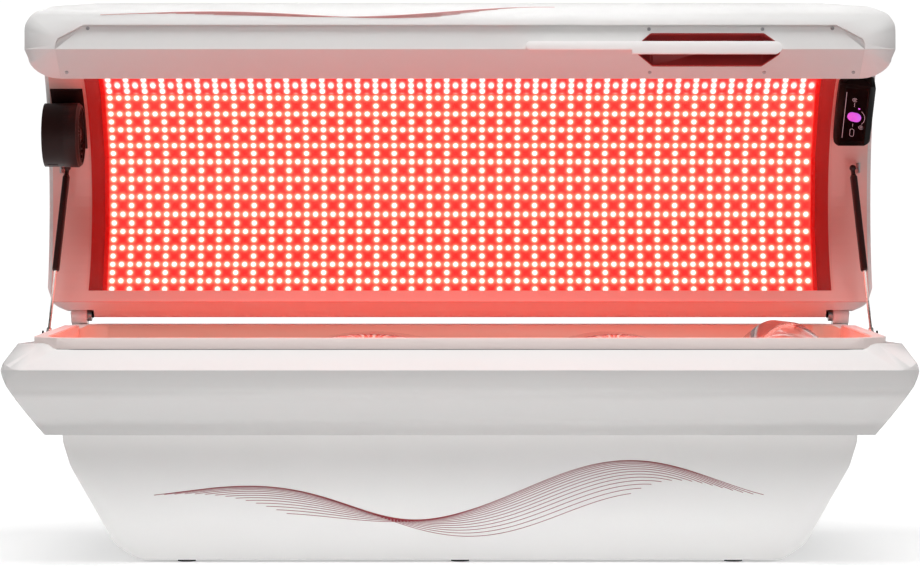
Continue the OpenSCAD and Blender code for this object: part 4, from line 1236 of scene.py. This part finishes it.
@dataclass
class Studio:
    """The floor, the sky, the lamps and the camera."""

    camera_y: float = -7.959
    camera_z: float = 0.712
    focal_px: float = 3000.0
    frame_px: float = 920.0
    sensor: float = 36.0
    clip: float = 200.0
    sky: float = 0.3
    sky_rise: float = 0.75
    low_sky: float = 0.03
    low_sky_rise: float = 0.1
    back_sky: float = 0.2
    floor_half: float = 60.0
    floor_tone: float = 0.8
    floor_glow: float = 0.45
    bounce: float = 0.05
    near: float = 1.4
    far: float = 5.0
    full_white: float = 1.05
    lamps: Sequence[SoftLamp] = (
        SoftLamp("key", place=(0.0, -1.3, 4.8), aim=(0.0, 0.0, 0.7), size=(6.0, 3.0), power=192.0),
        SoftLamp(
            "brow",
            place=(0.0, -1.25, 1.8),
            aim=(0.0, -0.04, 1.5),
            size=(3.2, 0.08),
            power=0.85,
            spread=24.0,
        ),
        SoftLamp(
            "apron",
            place=(0.0, -1.7, 0.38),
            aim=(0.0, -0.5, 0.41),
            size=(3.2, 0.06),
            power=0.38,
            spread=13.0,
        ),
        SoftLamp(
            "low",
            place=(0.0, -1.25, 0.05),
            aim=(0.0, 0.0, 0.1),
            size=(3.2, 0.06),
            power=1.75,
            spread=38.0,
        ),
    )

    def camera(self) -> None:
        """A level camera straight at the open front."""
        data = bpy.data.cameras.new("camera")
        data.sensor_width = self.sensor
        data.lens = self.sensor * self.focal_px / self.frame_px
        data.clip_end = self.clip
        item = bpy.data.objects.new("camera", data)
        item.location = (0.0, self.camera_y, self.camera_z)
        item.rotation_euler = (math.pi / 2, 0.0, 0.0)
        bpy.context.scene.collection.objects.link(item)
        bpy.context.scene.camera = item

    def pale(self, name: str) -> bpy.types.Material:
        """A white ground that is seen near white, with its shadows kept, and pure white far off."""
        material = bpy.data.materials.new(name)
        material.use_nodes = True
        b = NodeBench(material.node_tree)
        material.node_tree.nodes.clear()
        out = b.add("ShaderNodeOutputMaterial")
        matt = b.add("ShaderNodeBsdfDiffuse", {"Color": (*[self.floor_tone] * 3, 1)})
        lift = b.add("ShaderNodeEmission", {"Color": (1, 1, 1, 1), "Strength": self.bounce})
        ground = b.add("ShaderNodeAddShader", {0: matt.outputs[0], 1: lift.outputs[0]})
        place = b.add("ShaderNodeTexCoord").outputs["Object"]
        away = b.add("ShaderNodeVectorMath", {0: place}, operation="LENGTH").outputs["Value"]
        level = b.add(
            "ShaderNodeMapRange",
            {
                "Value": away,
                "From Min": self.near,
                "From Max": self.far,
                "To Min": self.floor_glow,
                "To Max": self.full_white,
            },
        ).outputs[0]
        white = b.add("ShaderNodeEmission", {"Color": (1, 1, 1, 1), "Strength": level})
        both = b.add("ShaderNodeAddShader", {0: ground.outputs[0], 1: white.outputs[0]})
        mix = b.add("ShaderNodeMixShader", {0: b.seen(), 1: ground.outputs[0], 2: both.outputs[0]})
        b.link(mix.outputs[0], out.inputs[0])
        return material

    def ground(self) -> None:
        """A floor that runs far behind the bed."""

        def sheet(work: bmesh.types.BMesh) -> None:
            """Draws the floor."""
            bmesh.ops.create_grid(work, x_segments=1, y_segments=1, size=self.floor_half)

        mesh = mesh_of("floor", sheet)
        item = bpy.data.objects.new("floor", mesh)
        mesh.materials.append(self.pale("pale_floor"))
        bpy.context.scene.collection.objects.link(item)

    def world(self) -> None:
        """A soft pale sky, brighter overhead and behind the bed, white where it is seen."""
        world = bpy.data.worlds.new("sky")
        bpy.context.scene.world = world
        world.use_nodes = True
        tree = world.node_tree
        tree.nodes.clear()
        b = NodeBench(tree)
        rays = b.add("ShaderNodeLightPath")
        direct = b.math("MAXIMUM", rays.outputs["Is Camera Ray"], rays.outputs["Is Transmission Ray"])
        way = b.add("ShaderNodeSeparateXYZ", {0: b.add("ShaderNodeTexCoord").outputs["Generated"]})
        rise = b.add(
            "ShaderNodeMapRange",
            {
                "Value": way.outputs[2],
                "From Min": self.low_sky_rise,
                "From Max": self.sky_rise,
                "To Min": self.low_sky,
                "To Max": self.sky,
            },
            interpolation_type="SMOOTHSTEP",
        ).outputs[0]
        behind = b.math("MULTIPLY", b.math("GREATER_THAN", way.outputs[1], 0.0), self.back_sky)
        soft = b.math("MAXIMUM", rise, behind)
        short = b.math("SUBTRACT", self.full_white, soft)
        level = b.math("ADD", soft, b.math("MULTIPLY", direct, short))
        sky = b.add("ShaderNodeBackground", {"Color": (1, 1, 1, 1), "Strength": level})
        out = b.add("ShaderNodeOutputWorld")
        b.link(sky.outputs[0], out.inputs[0])

    def build(self) -> None:
        """Sets the studio up."""
        bpy.context.scene.view_settings.view_transform = "Standard"
        self.camera()
        self.ground()
        self.world()
        for lamp in self.lamps:
            lamp.hang()


def dress_frame(skin: Skin) -> None:
    """Gives every node of the frame its finish, smooth copies where a curve shows."""
    smooth: dict[str, Finishes] = {
        "base_cover": Finishes.BASE,
        "lower_shell": Finishes.UNDER,
        "deck": Finishes.DECK,
        "sill_trim": Finishes.SILL,
        "tub_tray": Finishes.TRAY,
        "canopy_shell": Finishes.SHELL,
        "fascia": Finishes.FASCIA,
        "fascia_screws": Finishes.STEEL,
        "handle": Finishes.HANDLE,
        "hand_pocket": Finishes.POCKET,
        "liner": Finishes.LINER,
        "end_reflectors": Finishes.REFLECTOR,
        "canopy_sheet": Finishes.WINDOW,
        "hinge_arms": Finishes.ARM,
        "hinge_pins": Finishes.DARK_STEEL,
        "lower_ball_brackets": Finishes.DARK_STEEL,
        "upper_ball_brackets": Finishes.STEEL,
        "fan_bracket": Finishes.BLACK,
        "fan_drum": Finishes.BLACK,
        "fan_grille": Finishes.BLACK,
        "fan_impeller": Finishes.BLACK,
        "panel_housing": Finishes.PANEL,
        "panel_glass": Finishes.GLASS,
        "panel_button": Finishes.BUTTON,
        "gas_rod_left": Finishes.CHROME,
        "gas_rod_right": Finishes.CHROME,
        "gas_cylinder_left": Finishes.BLACK_PAINT,
        "gas_cylinder_right": Finishes.BLACK_PAINT,
        "levelling_feet": Finishes.RUBBER,
        "vent_grille": Finishes.BLACK,
        "mains_inlet": Finishes.BLACK,
    }
    # metres of rounding on a copy's sharp edges
    edges = {"base_cover": 0.003, "handle": 0.003, "hinge_arms": 0.002}
    plain: dict[str, Finishes] = {
        "base_frame": Finishes.FRAME,
        "power_supplies": Finishes.ALUMINIUM,
        "driver_box": Finishes.ALUMINIUM,
        "vent_fan_frame": Finishes.BLACK,
        "vent_fan_impeller": Finishes.BLACK,
        "tub_ribs": Finishes.ALUMINIUM,
        "light_tray": Finishes.TRAY_RED,
        "canopy_ribs": Finishes.ALUMINIUM,
        "canopy_drivers": Finishes.ALUMINIUM,
        "hinge_beam": Finishes.STEEL,
        "knuckles": Finishes.STEEL,
        "fan_motor": Finishes.DARK_STEEL,
    }
    for node, finish in smooth.items():
        skin.dress(node, finish, edge=edges.get(node, 0.0))
    for node, finish in plain.items():
        skin.repaint(node, finish)
        LOG.info("%s keeps its node, in %s", node, finish.value.name)


def main() -> None:
    """Builds the bed's looks and the studio."""
    logging.basicConfig(level=logging.INFO, format="%(name)s: %(message)s")
    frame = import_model()
    studio = Studio()
    studio.build()
    dress_frame(Skin(frame))
    LampField().build()
    LyingSurface().build()
    SillShadeAndGlow().build()
    PanelMarks().build()
    LinePattern().build()


if __name__ == "__main__":
    main()
